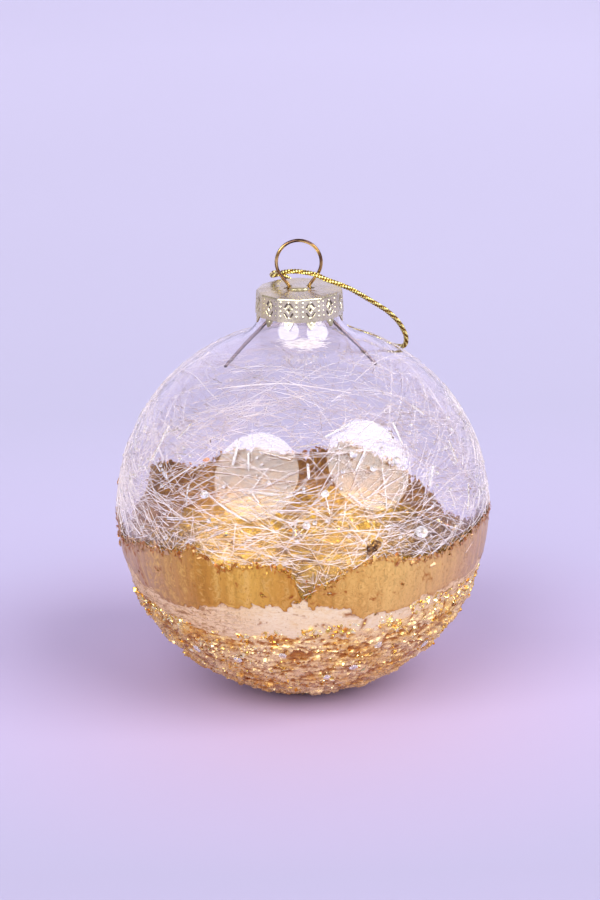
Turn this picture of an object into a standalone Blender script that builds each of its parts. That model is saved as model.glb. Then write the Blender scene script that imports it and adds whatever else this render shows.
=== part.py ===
"""Clear glass ball ornament: crown cap, spring-wire hanger, gold cord loop and gold leaf on its lower half.

Units are metres, +Z is up and -Y is the front. The ball rests on the small flat under its crust at z = 0.
Heights named *_Z are measured from the ball's centre, which is BALL_CENTRE above the floor.
"""
import math
import random

import bmesh
import bpy
from mathutils import Matrix, Vector, noise

MM = 0.001

# Glass ball and its neck
BALL_CENTRE = 40.6 * MM
BALL_R = 39.9 * MM
GLASS_WALL = 0.7 * MM
NECK_R = 8.2 * MM
NECK_TOP_Z = 48.1 * MM
NECK_FILLET = 9.0 * MM
BALL_SEGMENTS = 40

# Crown cap: a pressed sheet with twelve flat panels, each ending in a tooth
SHEET = 0.3 * MM
PANELS = 12
CAP_TOP_Z = 48.7 * MM
CAP_BOTTOM_Z = 43.6 * MM
CAP_TOP_R = 9.2 * MM
CAP_BOTTOM_R = 9.5 * MM
CAP_DOME = 0.25 * MM
CAP_EDGE = 0.3 * MM
PLATE_RINGS = ((3.5 * MM, 0.8), (7.4 * MM, 0.2))
TOOTH_LENGTH = 1.5 * MM
TOOTH_FLARE = 0.4 * MM
TOOTH_BASE = math.radians(6.0)
TOOTH_TIP = math.radians(1.5)
SLOT_X = 2.35 * MM
SLOT_WIDTH = 1.7 * MM
SLOT_DEPTH = 2.2 * MM
BRIDGE_WIDTH = 2.0 * MM
BRIDGE_LENGTH = 4.4 * MM
BRIDGE_RISE = 0.45 * MM

# Hanger: one wire that makes the ring, dives through the slots and spreads into two spring legs
WIRE_R = 0.36 * MM
RING_R = 4.8 * MM
RING_Z = 54.5 * MM
RING_OPENING = math.radians(45.0)
LEG_ROUTE = ((2.1, 49.35), (2.2, 48.6), (2.7, 47.6), (3.6, 45.9), (5.1, 43.7), (7.1, 41.4), (11.7, 36.3),
             (16.3, 31.3))
RING_STEPS = 24
LEG_POINTS = 16

# Cord loop, from the knot behind the cap, through the ring, round the shoulder and back to the knot
CORD_R = 0.55 * MM
CORD_ROUTE = (
    (-1.5, 12.4, 47.0), (-3.5, 11.3, 48.7), (-5.2, 9.4, 49.8), (-5.8, 6.6, 50.0), (-4.9, 3.6, 50.9),
    (-3.2, 1.7, 51.9), (-1.0, 0.8, 52.3), (1.4, -0.3, 52.3), (3.6, -1.6, 52.1), (5.6, -2.0, 51.2),
    (7.9, -2.1, 50.3), (10.6, -1.6, 49.0), (12.8, -0.8, 47.5), (14.9, 0.6, 45.8), (17.1, 2.4, 43.9),
    (19.1, 4.6, 41.9), (21.4, 7.6, 38.7), (22.8, 10.6, 35.3), (23.1, 12.8, 33.1), (22.7, 15.2, 31.3),
    (21.5, 17.6, 30.5), (19.8, 19.3, 30.5), (17.4, 20.1, 31.5), (14.4, 20.6, 32.7), (11.6, 20.9, 33.6),
    (9.3, 20.5, 34.9), (7.4, 19.3, 37.3), (5.8, 17.4, 40.4), (4.4, 15.5, 43.2), (3.0, 14.0, 45.0),
)
CORD_POINTS = 44
KNOT_CENTRE = (0.8, 12.9, 46.0)
KNOT_R = 1.75 * MM
TAIL_R = 0.45 * MM
TAIL_POINTS = 6
TAIL_ROUTES = (
    ((-1.1, 13.6, 45.3), (-2.4, 14.6, 43.8), (-3.0, 15.6, 41.9), (-3.1, 16.6, 39.8)),
    ((0.7, 14.3, 44.3), (0.2, 15.6, 42.6), (-0.3, 16.8, 40.6), (-0.2, 17.8, 38.7)),
)

# Gold leaf: thin curved sheets over the lower half, and the bead crust below them
LEAF_IN = 40.15 * MM
LEAF_OUT = 40.3 * MM
SHEET_GAP = 0.6
CRUST_BUMP = 0.45 * MM
CRUST_GRAIN = 9.0
CRUST_OUT = 40.4 * MM
CRUST_TOP = -27.0
CRUST_FLAT_R = 6.0 * MM
CRUST_COLUMNS = 40
CRUST_ROWS = 9

# Edges of the leaf sheets as (azimuth, latitude) in degrees, azimuth 0 at the front and + to the right
LEFT_TOP = ((-96, 3), (-88, -1), (-77, -5), (-64, -3), (-50, -1), (-40, 0), (-37, 3), (-33, 1), (-28, -1),
            (-26, -3), (-20, -1), (-12, -1), (-5, -2), (-3, -6), (-1, -10))
RIGHT_TOP = ((1, -11), (4, -7), (9, -6), (12, -3), (18, -1), (23, 1), (29, -1), (36, -3), (44, -3), (52, -2),
             (61, -1), (72, 0), (84, -1), (95, 1))
BACK_TOP = ((98, -3), (104, -9), (112, -14), (124, -14), (129, -12), (134, -9), (140, -6), (148, -3), (165, 3),
            (182, -2), (200, 2), (218, -2), (228, 3), (238, 4), (242, -4), (250, -6), (256, -8), (262, -4))
UPPER_BOTTOM = ((-100, -14), (-75, -13), (-57, -17), (-44, -18), (-28, -16), (-14, -14), (0, -14), (12, -15),
                (19, -19), (27, -18), (43, -17), (60, -15), (75, -14), (100, -15), (140, -17), (180, -14),
                (220, -17), (260, -14))

# Things stuck to the glass, as (azimuth, latitude, lean from level, length in mm)
RODS = (
    (-59, 30, 86, 8.4), (-49, 36, 64, 4.6), (-24, 33, 88, 6.0), (14, 40, 23, 6.8), (38, 36, 91, 5.6),
    (54, 41, 122, 3.6), (46, 21, 55, 4.8), (61, 25, 87, 5.4), (2, 28, 93, 3.4), (-51, 22, 148, 3.2),
    (105, 33, 70, 6.0), (140, 28, 110, 5.0), (185, 36, 60, 6.5), (230, 30, 95, 5.5),
)
ROD_R = 0.25 * MM
BEADS = ((-32, 19, 0.9), (7, 21, 0.8), (18, 32, 0.8), (24, 27, 0.7), (33, 28, 0.9), (1, 12, 0.8), (37, 6, 1.3),
         (150, 16, 1.0))
CHIPS = ((-8, -33), (26, -31), (19, -41), (9, -46), (-44, -36), (-26, -37), (52, -38), (100, -34), (160, -36),
         (230, -35))
CHIP_R = 1.15 * MM
CHIP_THICK = 0.5 * MM
CHIP_FLOOR = 40.95 * MM
FLAKES = ((-89, 9, 40.6), (-86, -10, 40.9), (-83, -6, 40.9), (22, 5, 40.6))
FLAKE_THICK = 0.12 * MM
HAIRS = ((-70, 48, 60), (-10, 52, 70), (60, 56, 60), (-60, 10, 45), (-15, 6, 30), (60, 13, 40))
HAIR_R = 0.09 * MM

GAP = 0.3 * MM


def clear_scene():
    for old in list(bpy.data.objects):
        bpy.data.objects.remove(old, do_unlink=True)


def make_material(name, color, roughness, metallic, alpha=1.0):
    material = bpy.data.materials.new(name)
    material.use_nodes = True
    shader = material.node_tree.nodes["Principled BSDF"]
    shader.inputs["Base Color"].default_value = (*color, 1.0)
    shader.inputs["Roughness"].default_value = roughness
    shader.inputs["Metallic"].default_value = metallic
    shader.inputs["Alpha"].default_value = alpha
    return material


def add_object(name, data, material, parent, location=(0.0, 0.0, 0.0)):
    piece = bpy.data.objects.new(name, data)
    bpy.context.scene.collection.objects.link(piece)
    piece.data.materials.append(material)
    piece.parent = parent
    piece.location = location
    return piece


def add_empty(name, height, parent=None):
    empty = bpy.data.objects.new(name, None)
    empty.empty_display_size = 10 * MM
    bpy.context.scene.collection.objects.link(empty)
    empty.parent = parent
    empty.location = (0.0, 0.0, height)
    return empty


def finish_mesh(name, bm, smooth_angle=40.0):
    bmesh.ops.recalc_face_normals(bm, faces=bm.faces)
    mesh = bpy.data.meshes.new(name)
    bm.to_mesh(mesh)
    bm.free()
    mesh.shade_smooth()
    mesh.set_sharp_from_angle(angle=math.radians(smooth_angle))
    return mesh


def edge_height(outline, azimuth):
    """Latitude of a hand-drawn edge at an azimuth, straight between its points."""
    for (a0, l0), (a1, l1) in zip(outline, outline[1:]):
        if azimuth <= a1:
            return l0 + (l1 - l0) * max(0.0, (azimuth - a0) / (a1 - a0))
    return outline[-1][1]


def on_ball(azimuth, latitude, radius):
    """Point over the ball, from its centre: azimuth 0 is the front, latitude 90 the neck."""
    turn, rise = math.radians(azimuth), math.radians(latitude)
    flat = radius * math.cos(rise)
    return Vector((flat * math.sin(turn), -flat * math.cos(turn), radius * math.sin(rise)))


def smooth_path(route, count):
    """Evenly spaced points on a Catmull-Rom curve through a route's own points."""
    knots = [Vector(point) for point in route]
    knots = [2 * knots[0] - knots[1]] + knots + [2 * knots[-1] - knots[-2]]
    fine = []
    for before, start, end, after in zip(knots, knots[1:], knots[2:], knots[3:]):
        for step in range(12):
            t = step / 12
            fine.append(0.5 * (2 * start + (end - before) * t + (2 * before - 5 * start + 4 * end - after) * t ** 2
                               + (3 * start - before - 3 * end + after) * t ** 3))
    fine.append(knots[-2])
    lengths = [0.0]
    for a, b in zip(fine, fine[1:]):
        lengths.append(lengths[-1] + (b - a).length)
    points, segment = [], 0
    for index in range(count):
        want = lengths[-1] * index / (count - 1)
        while segment < len(fine) - 2 and lengths[segment + 1] < want:
            segment += 1
        share = (want - lengths[segment]) / (lengths[segment + 1] - lengths[segment])
        points.append(fine[segment].lerp(fine[segment + 1], min(1.0, share)))
    return points


def tube(name, points, radius, material, parent, lift=0.0):
    """Round tube with filled ends through points, dropped by lift into its parent's frame."""
    curve = bpy.data.curves.new(name, "CURVE")
    curve.dimensions = "3D"
    curve.bevel_depth = radius
    curve.bevel_resolution = 2
    curve.use_fill_caps = True
    spline = curve.splines.new("POLY")
    spline.points.add(len(points) - 1)
    for spot, point in zip(spline.points, points):
        spot.co = (point[0], point[1], point[2] - lift, 1.0)
    return add_object(name, curve, material, parent)


def bridge_rings(bm, rings):
    """Skin a list of closed rings; a ring of one vertex is a pole."""
    for lower, upper in zip(rings, rings[1:]):
        count = max(len(lower), len(upper))
        for i in range(count):
            j = (i + 1) % count
            corners = [lower[i % len(lower)], lower[j % len(lower)], upper[j % len(upper)], upper[i % len(upper)]]
            bm.faces.new(list(dict.fromkeys(corners)))


def arc_points(centre, radius, start, end, steps):
    """Points along an arc in the (r, z) plane, angles in radians from +r."""
    return [(centre[0] + radius * math.cos(start + (end - start) * i / steps),
             centre[1] + radius * math.sin(start + (end - start) * i / steps)) for i in range(steps + 1)]


def glass_profile(ball_r, neck_r, fillet, tangent_steps, sphere_steps):
    """Half outline of one skin of the ball, from the neck's rim down to the pole."""
    outer_reach = BALL_R + NECK_FILLET
    centre_r = NECK_R + NECK_FILLET
    centre = (centre_r, math.sqrt(outer_reach ** 2 - centre_r ** 2))
    meet = math.atan2(centre[1], centre[0])
    points = [(neck_r, NECK_TOP_Z)]
    points += arc_points(centre, fillet, math.pi, math.pi + meet, tangent_steps)
    points += arc_points((0.0, 0.0), ball_r, meet, -math.pi / 2, sphere_steps)[1:-1]
    return points + [(0.0, -ball_r)]


def make_glass_ball(material, parent):
    outer = glass_profile(BALL_R, NECK_R, NECK_FILLET, 4, 17)
    inner = glass_profile(BALL_R - GLASS_WALL, NECK_R - GLASS_WALL, NECK_FILLET + GLASS_WALL, 4, 15)
    bm = bmesh.new()
    rings = []
    for r, z in outer[::-1] + inner:
        if r == 0.0:
            rings.append([bm.verts.new((0.0, 0.0, z))])
            continue
        turns = [2 * math.pi * i / BALL_SEGMENTS for i in range(BALL_SEGMENTS)]
        rings.append([bm.verts.new((r * math.cos(t), r * math.sin(t), z)) for t in turns])
    bridge_rings(bm, rings)
    return add_object("glass_ball", finish_mesh("glass_ball", bm), material, parent)


def shell_patch(name, azimuths, top, bottom, rows, material, parent):
    """Thin curved sheet over the ball between two edges, closed all round."""
    bm = bmesh.new()
    skins = []
    for radius in (LEAF_IN, LEAF_OUT):
        grid = []
        for azimuth in azimuths:
            high, low = edge_height(top, azimuth), edge_height(bottom, azimuth) + SHEET_GAP
            grid.append([bm.verts.new(on_ball(azimuth, high + (low - high) * i / rows, radius))
                         for i in range(rows + 1)])
        skins.append(grid)
    for grid in skins:
        for left, right in zip(grid, grid[1:]):
            for i in range(rows):
                bm.faces.new((left[i], left[i + 1], right[i + 1], right[i]))
    rims = [[grid[0][i] for i in range(rows + 1)] + [column[rows] for column in grid[1:-1]]
            + [grid[-1][i] for i in range(rows, -1, -1)] + [column[0] for column in grid[-2:0:-1]]
            for grid in skins]
    for i in range(len(rims[0])):
        j = (i + 1) % len(rims[0])
        bm.faces.new((rims[0][i], rims[0][j], rims[1][j], rims[1][i]))
    return add_object(name, finish_mesh(name, bm), material, parent)


def spaced(start, end, step):
    count = max(1, round((end - start) / step))
    return [start + (end - start) * i / count for i in range(count + 1)]


def crust_top(azimuth):
    """Latitude of the crust's ragged upper edge."""
    turn = math.radians(azimuth)
    return CRUST_TOP + 1.6 * math.sin(3 * turn + 0.6) + 0.9 * math.sin(7 * turn + 2.0)


def make_leaf(orange, pale, parent):
    shell_patch("leaf_left", spaced(-96, -1, 4), LEFT_TOP, UPPER_BOTTOM, 3, orange, parent)
    shell_patch("leaf_right", spaced(1, 95, 4), RIGHT_TOP, UPPER_BOTTOM, 3, orange, parent)
    shell_patch("leaf_back", spaced(98, 261, 6), BACK_TOP, UPPER_BOTTOM, 3, orange, parent)
    upper = tuple((azimuth, latitude - SHEET_GAP) for azimuth, latitude in UPPER_BOTTOM)
    lower = tuple((azimuth, crust_top(azimuth) + SHEET_GAP) for azimuth in spaced(-100, 262, 6))
    shell_patch("leaf_lower_left", spaced(-98, -22, 6), upper, lower, 2, pale, parent)
    shell_patch("leaf_lower_front", spaced(-21, 58, 6), upper, lower, 2, pale, parent)
    shell_patch("leaf_lower_right", spaced(59, 138, 6), upper, lower, 2, pale, parent)
    shell_patch("leaf_lower_back", spaced(139, 259, 6), upper, lower, 2, pale, parent)


def crust_radius(direction):
    """Outer radius of the bead crust in a direction, kept low where a glass chip sits on it."""
    for azimuth, latitude in CHIPS:
        if direction.angle(on_ball(azimuth, latitude, 1.0)) < math.radians(8.0):
            return CRUST_OUT
    return CRUST_OUT + CRUST_BUMP * (0.5 + 0.5 * noise.noise(direction * CRUST_GRAIN))


def make_crust(material, parent):
    """Bowl of leaf-covered beads, with the small level rest that the ornament stands on."""
    bm = bmesh.new()
    skins = []
    for outside in (True, False):
        rings = [[bm.verts.new((0.0, 0.0, -BALL_CENTRE if outside else -LEAF_IN))]]
        flat_latitude = -math.degrees(math.acos(CRUST_FLAT_R / BALL_CENTRE))
        ring = []
        for column in range(CRUST_COLUMNS):
            spot = on_ball(360.0 * column / CRUST_COLUMNS, flat_latitude, LEAF_IN)
            if outside:
                spot = Vector((spot.x, spot.y, -BALL_CENTRE))
            ring.append(bm.verts.new(spot))
        rings.append(ring)
        for row in range(1, CRUST_ROWS + 1):
            ring = []
            for column in range(CRUST_COLUMNS):
                azimuth = 360.0 * column / CRUST_COLUMNS
                latitude = flat_latitude + (crust_top(azimuth) - flat_latitude) * row / CRUST_ROWS
                way = on_ball(azimuth, latitude, 1.0)
                ring.append(bm.verts.new(way * (crust_radius(way) if outside else LEAF_IN)))
            rings.append(ring)
        skins.append(rings)
    bridge_rings(bm, skins[0] + skins[1][::-1])
    return add_object("crust_bed", finish_mesh("crust_bed", bm), material, parent)


def place_on_ball(piece, azimuth, latitude, lean, radius):
    """Stand a piece on the ball: its Z points out and its X runs at lean degrees above level."""
    out = on_ball(azimuth, latitude, 1.0)
    level = Vector((math.cos(math.radians(azimuth)), math.sin(math.radians(azimuth)), 0.0))
    rise = out.cross(level)
    along = level * math.cos(math.radians(lean)) + rise * math.sin(math.radians(lean))
    side = out.cross(along)
    turn = Matrix((along, side, out)).transposed()
    piece.rotation_euler = turn.to_euler()
    piece.location = out * radius


def rod_mesh(name, length):
    """Six-sided glass rod along X with slightly drawn-in ends."""
    bm = bmesh.new()
    half = length / 2
    rings = [[bm.verts.new((-half, 0.0, 0.0))]]
    for x, share in ((-half, 0.7), (-half + ROD_R, 1.0), (half - ROD_R, 1.0), (half, 0.7)):
        turns = [math.pi * i / 3 for i in range(6)]
        rings.append([bm.verts.new((x, share * ROD_R * math.cos(t), share * ROD_R * math.sin(t))) for t in turns])
    rings.append([bm.verts.new((half, 0.0, 0.0))])
    bridge_rings(bm, rings)
    return finish_mesh(name, bm, 50.0)


def make_rods(material, parent):
    for number, (azimuth, latitude, lean, length) in enumerate(RODS, 1):
        name = f"glass_rod_{number:02d}"
        rod = add_object(name, rod_mesh(name, length * MM), material, parent)
        place_on_ball(rod, azimuth, latitude, lean, BALL_R + GAP + ROD_R)


def make_beads(material, parent):
    for number, (azimuth, latitude, size) in enumerate(BEADS, 1):
        name = f"clear_bead_{number:02d}"
        bm = bmesh.new()
        bmesh.ops.create_icosphere(bm, subdivisions=2, radius=size * MM)
        bead = add_object(name, finish_mesh(name, bm, 60.0), material, parent)
        place_on_ball(bead, azimuth, latitude, 0.0, BALL_R + GAP + size * MM)


def make_chips(material, parent):
    """Flat irregular glass chips bedded in the crust."""
    dice = random.Random(7)
    for number, (azimuth, latitude) in enumerate(CHIPS, 1):
        name = f"crust_chip_{number:02d}"
        bm = bmesh.new()
        for level, share in ((0.0, 0.8), (CHIP_THICK * 0.5, 1.0), (CHIP_THICK, 0.6)):
            for side in range(6):
                turn = math.radians(60 * side + dice.uniform(-18, 18))
                reach = CHIP_R * share * dice.uniform(0.75, 1.0)
                bm.verts.new((reach * math.cos(turn), reach * math.sin(turn), level))
        hull = bmesh.ops.convex_hull(bm, input=bm.verts)
        bmesh.ops.delete(bm, geom=list(set(hull["geom_interior"])), context="VERTS")
        chip = add_object(name, finish_mesh(name, bm, 20.0), material, parent)
        place_on_ball(chip, azimuth, latitude, dice.uniform(0, 180), CHIP_FLOOR)


def make_flakes(material, parent):
    """Loose flakes of leaf that stand a little off the surface."""
    dice = random.Random(11)
    for number, (azimuth, latitude, radius) in enumerate(FLAKES, 1):
        name = f"leaf_flake_{number:02d}"
        bm = bmesh.new()
        rim = []
        for side in range(7):
            turn = 2 * math.pi * side / 7
            reach = dice.uniform(0.6, 1.1) * MM
            rim.append(bm.verts.new((reach * math.cos(turn), 0.7 * reach * math.sin(turn), 0.0)))
        sheet = bm.faces.new(rim)
        lifted = bmesh.ops.extrude_face_region(bm, geom=[sheet])["geom"]
        top = [item for item in lifted if isinstance(item, bmesh.types.BMVert)]
        bmesh.ops.translate(bm, verts=top, vec=(0.0, 0.0, FLAKE_THICK))
        flake = add_object(name, finish_mesh(name, bm, 30.0), material, parent)
        place_on_ball(flake, azimuth, latitude, dice.uniform(-30, 30), radius * MM)


def make_hairs(material, parent):
    """The thickest strands of the fine glass hair, each an arc over the ball."""
    for number, (azimuth, latitude, spread) in enumerate(HAIRS, 1):
        points = []
        for step in range(9):
            share = step / 8 - 0.5
            bow = 5.0 * math.cos(math.pi * share)
            points.append(on_ball(azimuth + spread * share, latitude + bow, BALL_R + GAP + HAIR_R))
        tube(f"glass_hair_{number:02d}", points, HAIR_R, material, parent)


def cap_columns():
    """Angles across one panel, with the tooth's drop at each, from crease to crease."""
    half = math.pi / PANELS
    return ((-half, 0.0), (-1.5 * TOOTH_BASE, 0.0), (-TOOTH_BASE, 0.0), (-TOOTH_TIP, TOOTH_LENGTH),
            (TOOTH_TIP, TOOTH_LENGTH), (TOOTH_BASE, 0.0), (1.5 * TOOTH_BASE, 0.0))


def cap_skin(bm, inset, axis_z):
    """One skin of the cap: pole, three rings of the plate, the shoulder, the wall and the toothed edge."""
    rows = [(r, CAP_TOP_Z + share * CAP_DOME - inset, False) for r, share in PLATE_RINGS]
    rows += [
        (CAP_TOP_R - CAP_EDGE - inset, CAP_TOP_Z - inset, True),
        (CAP_TOP_R - inset, CAP_TOP_Z - CAP_EDGE - inset, True),
        (CAP_BOTTOM_R - inset, CAP_BOTTOM_Z, True),
    ]
    rings = [[bm.verts.new((0.0, 0.0, CAP_TOP_Z + CAP_DOME - inset - axis_z))]]
    half = math.pi / PANELS
    for r, z, flat_sided in rows:
        ring = []
        for panel in range(PANELS):
            middle = (2 * panel + 1) * half - math.pi / 2
            for offset, tooth in cap_columns():
                reach = r * math.cos(half) / math.cos(offset) if flat_sided else r
                height = z
                if z == CAP_BOTTOM_Z and tooth:
                    height, reach = z - tooth, reach + TOOTH_FLARE
                turn = middle + offset
                ring.append(bm.verts.new((reach * math.cos(turn), reach * math.sin(turn), height - axis_z)))
        rings.append(ring)
    return rings


def make_cap(material, parent, axis_z):
    bm = bmesh.new()
    outer = cap_skin(bm, 0.0, axis_z)
    inner = cap_skin(bm, SHEET, axis_z)
    bridge_rings(bm, outer + inner[::-1])
    cap = add_object("cap_shell", finish_mesh("cap_shell", bm, 12.0), material, parent)
    ridge = make_bridge(material, parent, axis_z)
    slots = make_slot_cutter(material, parent, axis_z)
    for guide, operation in ((ridge, "UNION"), (slots, "DIFFERENCE")):
        boolean = cap.modifiers.new(operation.lower(), "BOOLEAN")
        boolean.operation = operation
        boolean.object = guide
    return cap


def as_guide(piece):
    piece.hide_render = True
    piece.display_type = "WIRE"
    return piece


def make_bridge(material, parent, axis_z):
    """Low pressed strap between the two wire slots, running front to back."""
    bm = bmesh.new()
    sections = []
    for y in (-BRIDGE_LENGTH / 2, -BRIDGE_LENGTH / 3, BRIDGE_LENGTH / 3, BRIDGE_LENGTH / 2):
        rise = BRIDGE_RISE if abs(y) < BRIDGE_LENGTH / 2.5 else 0.25 * BRIDGE_RISE
        top = CAP_TOP_Z + CAP_DOME + rise - axis_z
        low = CAP_TOP_Z + CAP_DOME - 0.5 * SHEET - axis_z
        half = BRIDGE_WIDTH / 2
        outline = ((-half, low), (half, low), (half, 0.6 * top + 0.4 * low), (0.5 * half, top), (-0.5 * half, top),
                   (-half, 0.6 * top + 0.4 * low))
        sections.append([bm.verts.new((x, y, z)) for x, z in outline])
    bridge_rings(bm, sections)
    bm.faces.new(sections[0])
    bm.faces.new(sections[-1])
    return as_guide(add_object("bridge_guide", finish_mesh("bridge_guide", bm), material, parent))


def make_slot_cutter(material, parent, axis_z):
    """Two box cutters that open the plate where the wire goes through."""
    bm = bmesh.new()
    for side in (-1.0, 1.0):
        block = bmesh.ops.create_cube(bm, size=1.0)["verts"]
        bmesh.ops.scale(bm, verts=block, vec=(SLOT_WIDTH, SLOT_DEPTH, 4 * MM))
        shift = (side * (SLOT_X + 0.05 * SLOT_WIDTH), 0.0, CAP_TOP_Z - axis_z)
        bmesh.ops.translate(bm, verts=block, vec=shift)
    return as_guide(add_object("slot_cutter", finish_mesh("slot_cutter", bm), material, parent))


def hanger_points():
    """Centreline of the wire in the XZ plane, from the left leg's tip to the right leg's tip."""
    start, end = RING_OPENING - math.pi / 2, 1.5 * math.pi - RING_OPENING
    arc = arc_points((0.0, RING_Z), RING_R, start, end, RING_STEPS)
    ring = [Vector((x, 0.0, z)) for x, z in arc]
    right = smooth_path([Vector((x * MM, 0.0, z * MM)) for x, z in LEG_ROUTE], LEG_POINTS)
    left = [Vector((-point.x, 0.0, point.z)) for point in right]
    return left[::-1] + ring[::-1] + right


def make_hanger(material, parent, axis_z):
    return tube("hanger_wire", hanger_points(), WIRE_R, material, parent, axis_z)


def make_cord(material, parent, axis_z):
    loop = smooth_path([Vector(point) * MM for point in CORD_ROUTE], CORD_POINTS)
    tube("hanger_cord", loop, CORD_R, material, parent, axis_z)
    for side, route in zip(("left", "right"), TAIL_ROUTES):
        tail = smooth_path([Vector(point) * MM for point in route], TAIL_POINTS)
        tube(f"cord_tail_{side}", tail, TAIL_R, material, parent, axis_z)


def make_knot(material, parent, axis_z):
    """Tight overhand knot: a ball of cord with two grooves round it."""
    bm = bmesh.new()
    bmesh.ops.create_uvsphere(bm, u_segments=12, v_segments=8, radius=KNOT_R)
    for vert in bm.verts:
        turn = math.atan2(vert.co.y, vert.co.x)
        vert.co *= 0.9 + 0.1 * math.cos(2 * turn + 3.0 * vert.co.z / KNOT_R)
    x, y, z = (value * MM for value in KNOT_CENTRE)
    return add_object("cord_knot", finish_mesh("cord_knot", bm, 60.0), material, parent, (x, y, z - axis_z))


def main():
    clear_scene()
    glass = make_material("clear_glass", (0.93, 0.92, 0.96), 0.03, 0.0, 0.3)
    fibre = make_material("glass_fibre", (0.95, 0.94, 0.93), 0.1, 0.0, 0.6)
    orange = make_material("gold_leaf", (0.66, 0.38, 0.13), 0.3, 1.0)
    pale = make_material("pale_leaf", (0.74, 0.52, 0.33), 0.35, 1.0)
    crust = make_material("crust_gold", (0.62, 0.36, 0.16), 0.35, 1.0)
    champagne = make_material("cap_metal", (0.60, 0.52, 0.43), 0.32, 1.0)
    wire = make_material("wire_gold", (0.55, 0.36, 0.15), 0.15, 1.0)
    thread = make_material("cord_gold", (0.58, 0.42, 0.12), 0.35, 0.8)

    ball_frame = add_empty("ball_frame", BALL_CENTRE)
    make_glass_ball(glass, ball_frame)
    make_leaf(orange, pale, ball_frame)
    make_crust(crust, ball_frame)
    make_rods(fibre, ball_frame)
    make_beads(fibre, ball_frame)
    make_chips(fibre, ball_frame)
    make_flakes(orange, ball_frame)
    make_hairs(fibre, ball_frame)

    cap_turn = add_empty("cap_turn_axis", CAP_TOP_Z, ball_frame)
    make_cap(champagne, cap_turn, CAP_TOP_Z)
    make_cord(thread, cap_turn, CAP_TOP_Z)
    make_knot(thread, cap_turn, CAP_TOP_Z)

    ring_tilt = add_empty("ring_tilt_axis", 0.0, cap_turn)
    make_hanger(wire, ring_tilt, CAP_TOP_Z)


main()
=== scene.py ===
"""Looks of the glass ball ornament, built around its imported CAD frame.

Units are metres, +Z is up and -Y is the front. A place over the ball is (azimuth, latitude) in degrees:
azimuth 0 is the front and + is to the right, latitude 90 is the neck. Names that end in _Z are heights
above the ball's centre. Each mesh carries a point attribute, "lay", that its material reads in mm.
"""
import math
import random

import bmesh
import bpy
import numpy as np
from mathutils import Euler, Matrix, Vector, noise


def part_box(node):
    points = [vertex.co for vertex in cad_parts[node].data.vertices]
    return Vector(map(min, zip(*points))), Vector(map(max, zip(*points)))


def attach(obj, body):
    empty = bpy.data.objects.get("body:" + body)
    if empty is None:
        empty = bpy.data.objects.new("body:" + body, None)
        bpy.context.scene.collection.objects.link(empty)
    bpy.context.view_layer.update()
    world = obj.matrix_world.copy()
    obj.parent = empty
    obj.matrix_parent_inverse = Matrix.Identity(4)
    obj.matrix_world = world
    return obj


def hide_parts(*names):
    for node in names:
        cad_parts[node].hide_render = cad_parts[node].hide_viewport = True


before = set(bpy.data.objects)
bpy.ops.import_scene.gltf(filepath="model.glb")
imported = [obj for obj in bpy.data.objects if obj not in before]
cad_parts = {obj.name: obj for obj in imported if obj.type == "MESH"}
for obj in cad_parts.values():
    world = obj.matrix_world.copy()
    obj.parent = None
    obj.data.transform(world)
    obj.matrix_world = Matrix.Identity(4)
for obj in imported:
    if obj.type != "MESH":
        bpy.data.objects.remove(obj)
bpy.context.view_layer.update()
noise.seed_set(1)  # noise_vector would otherwise change with the clock

MM = 0.001

# The ball, read from the frame
glass_low, glass_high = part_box("glass_ball")
BALL_R = (glass_high.x - glass_low.x) / 2
CENTRE = Vector((0.0, 0.0, glass_low.z + BALL_R))
NECK_TOP_Z = glass_high.z - CENTRE.z
GLASS_WALL = 0.7 * MM
NECK_R = 8.2 * MM
NECK_FILLET = 9.0 * MM
MM_PER_DEGREE = math.radians(BALL_R / MM)

# Camera and light; BALL_SPOT is the place of the ball's centre in a view of FRAME_SIZE
CAMERA_DISTANCE = 0.9
CAMERA_RISE = 18.0
CAMERA_ROLL = -1.0
CAMERA_LENS = 165.6
SENSOR_WIDTH = 36.0
FRAME_SIZE = (600, 900)
BALL_SPOT = (302.0, 505.0)
SOFTBOX_REACH = 2.6
SOFTBOX_SIZE = 2.6
SOFTBOXES = (("softbox_left", -35.0, 33.0, 5.0), ("softbox_right", 53.0, 34.5, 5.5))

# Cap: a pressed sheet with twelve flat panels
PANELS = 12
PANEL_COLUMNS = 40
HALF_PANEL = math.pi / PANELS
SHEET = 0.3 * MM
CAP_TOP_Z = 48.7 * MM
CAP_BOTTOM_Z = 43.6 * MM
CAP_TOP_R = 9.2 * MM
CAP_BOTTOM_R = 9.5 * MM
CAP_DOME = 0.25 * MM
CAP_EDGE = 0.3 * MM
TOOTH_LENGTH = 1.5 * MM
TOOTH_FLARE = 0.4 * MM
SLOT_X = 2.43 * MM
SLOT_WIDTH = 1.7 * MM
SLOT_DEPTH = 2.2 * MM

# Hanger wire, as (x, height over the ball's centre) in mm for one leg
WIRE_R = 0.36 * MM
RING_R = 4.8 * MM
RING_Z = 54.5 * MM
RING_OPENING = math.radians(45.0)
LEG_ROUTE = ((2.1, 49.35), (2.2, 48.6), (2.7, 47.6), (3.6, 45.9), (5.1, 43.7), (7.1, 41.4), (11.7, 36.3),
             (16.3, 31.3))

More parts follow.
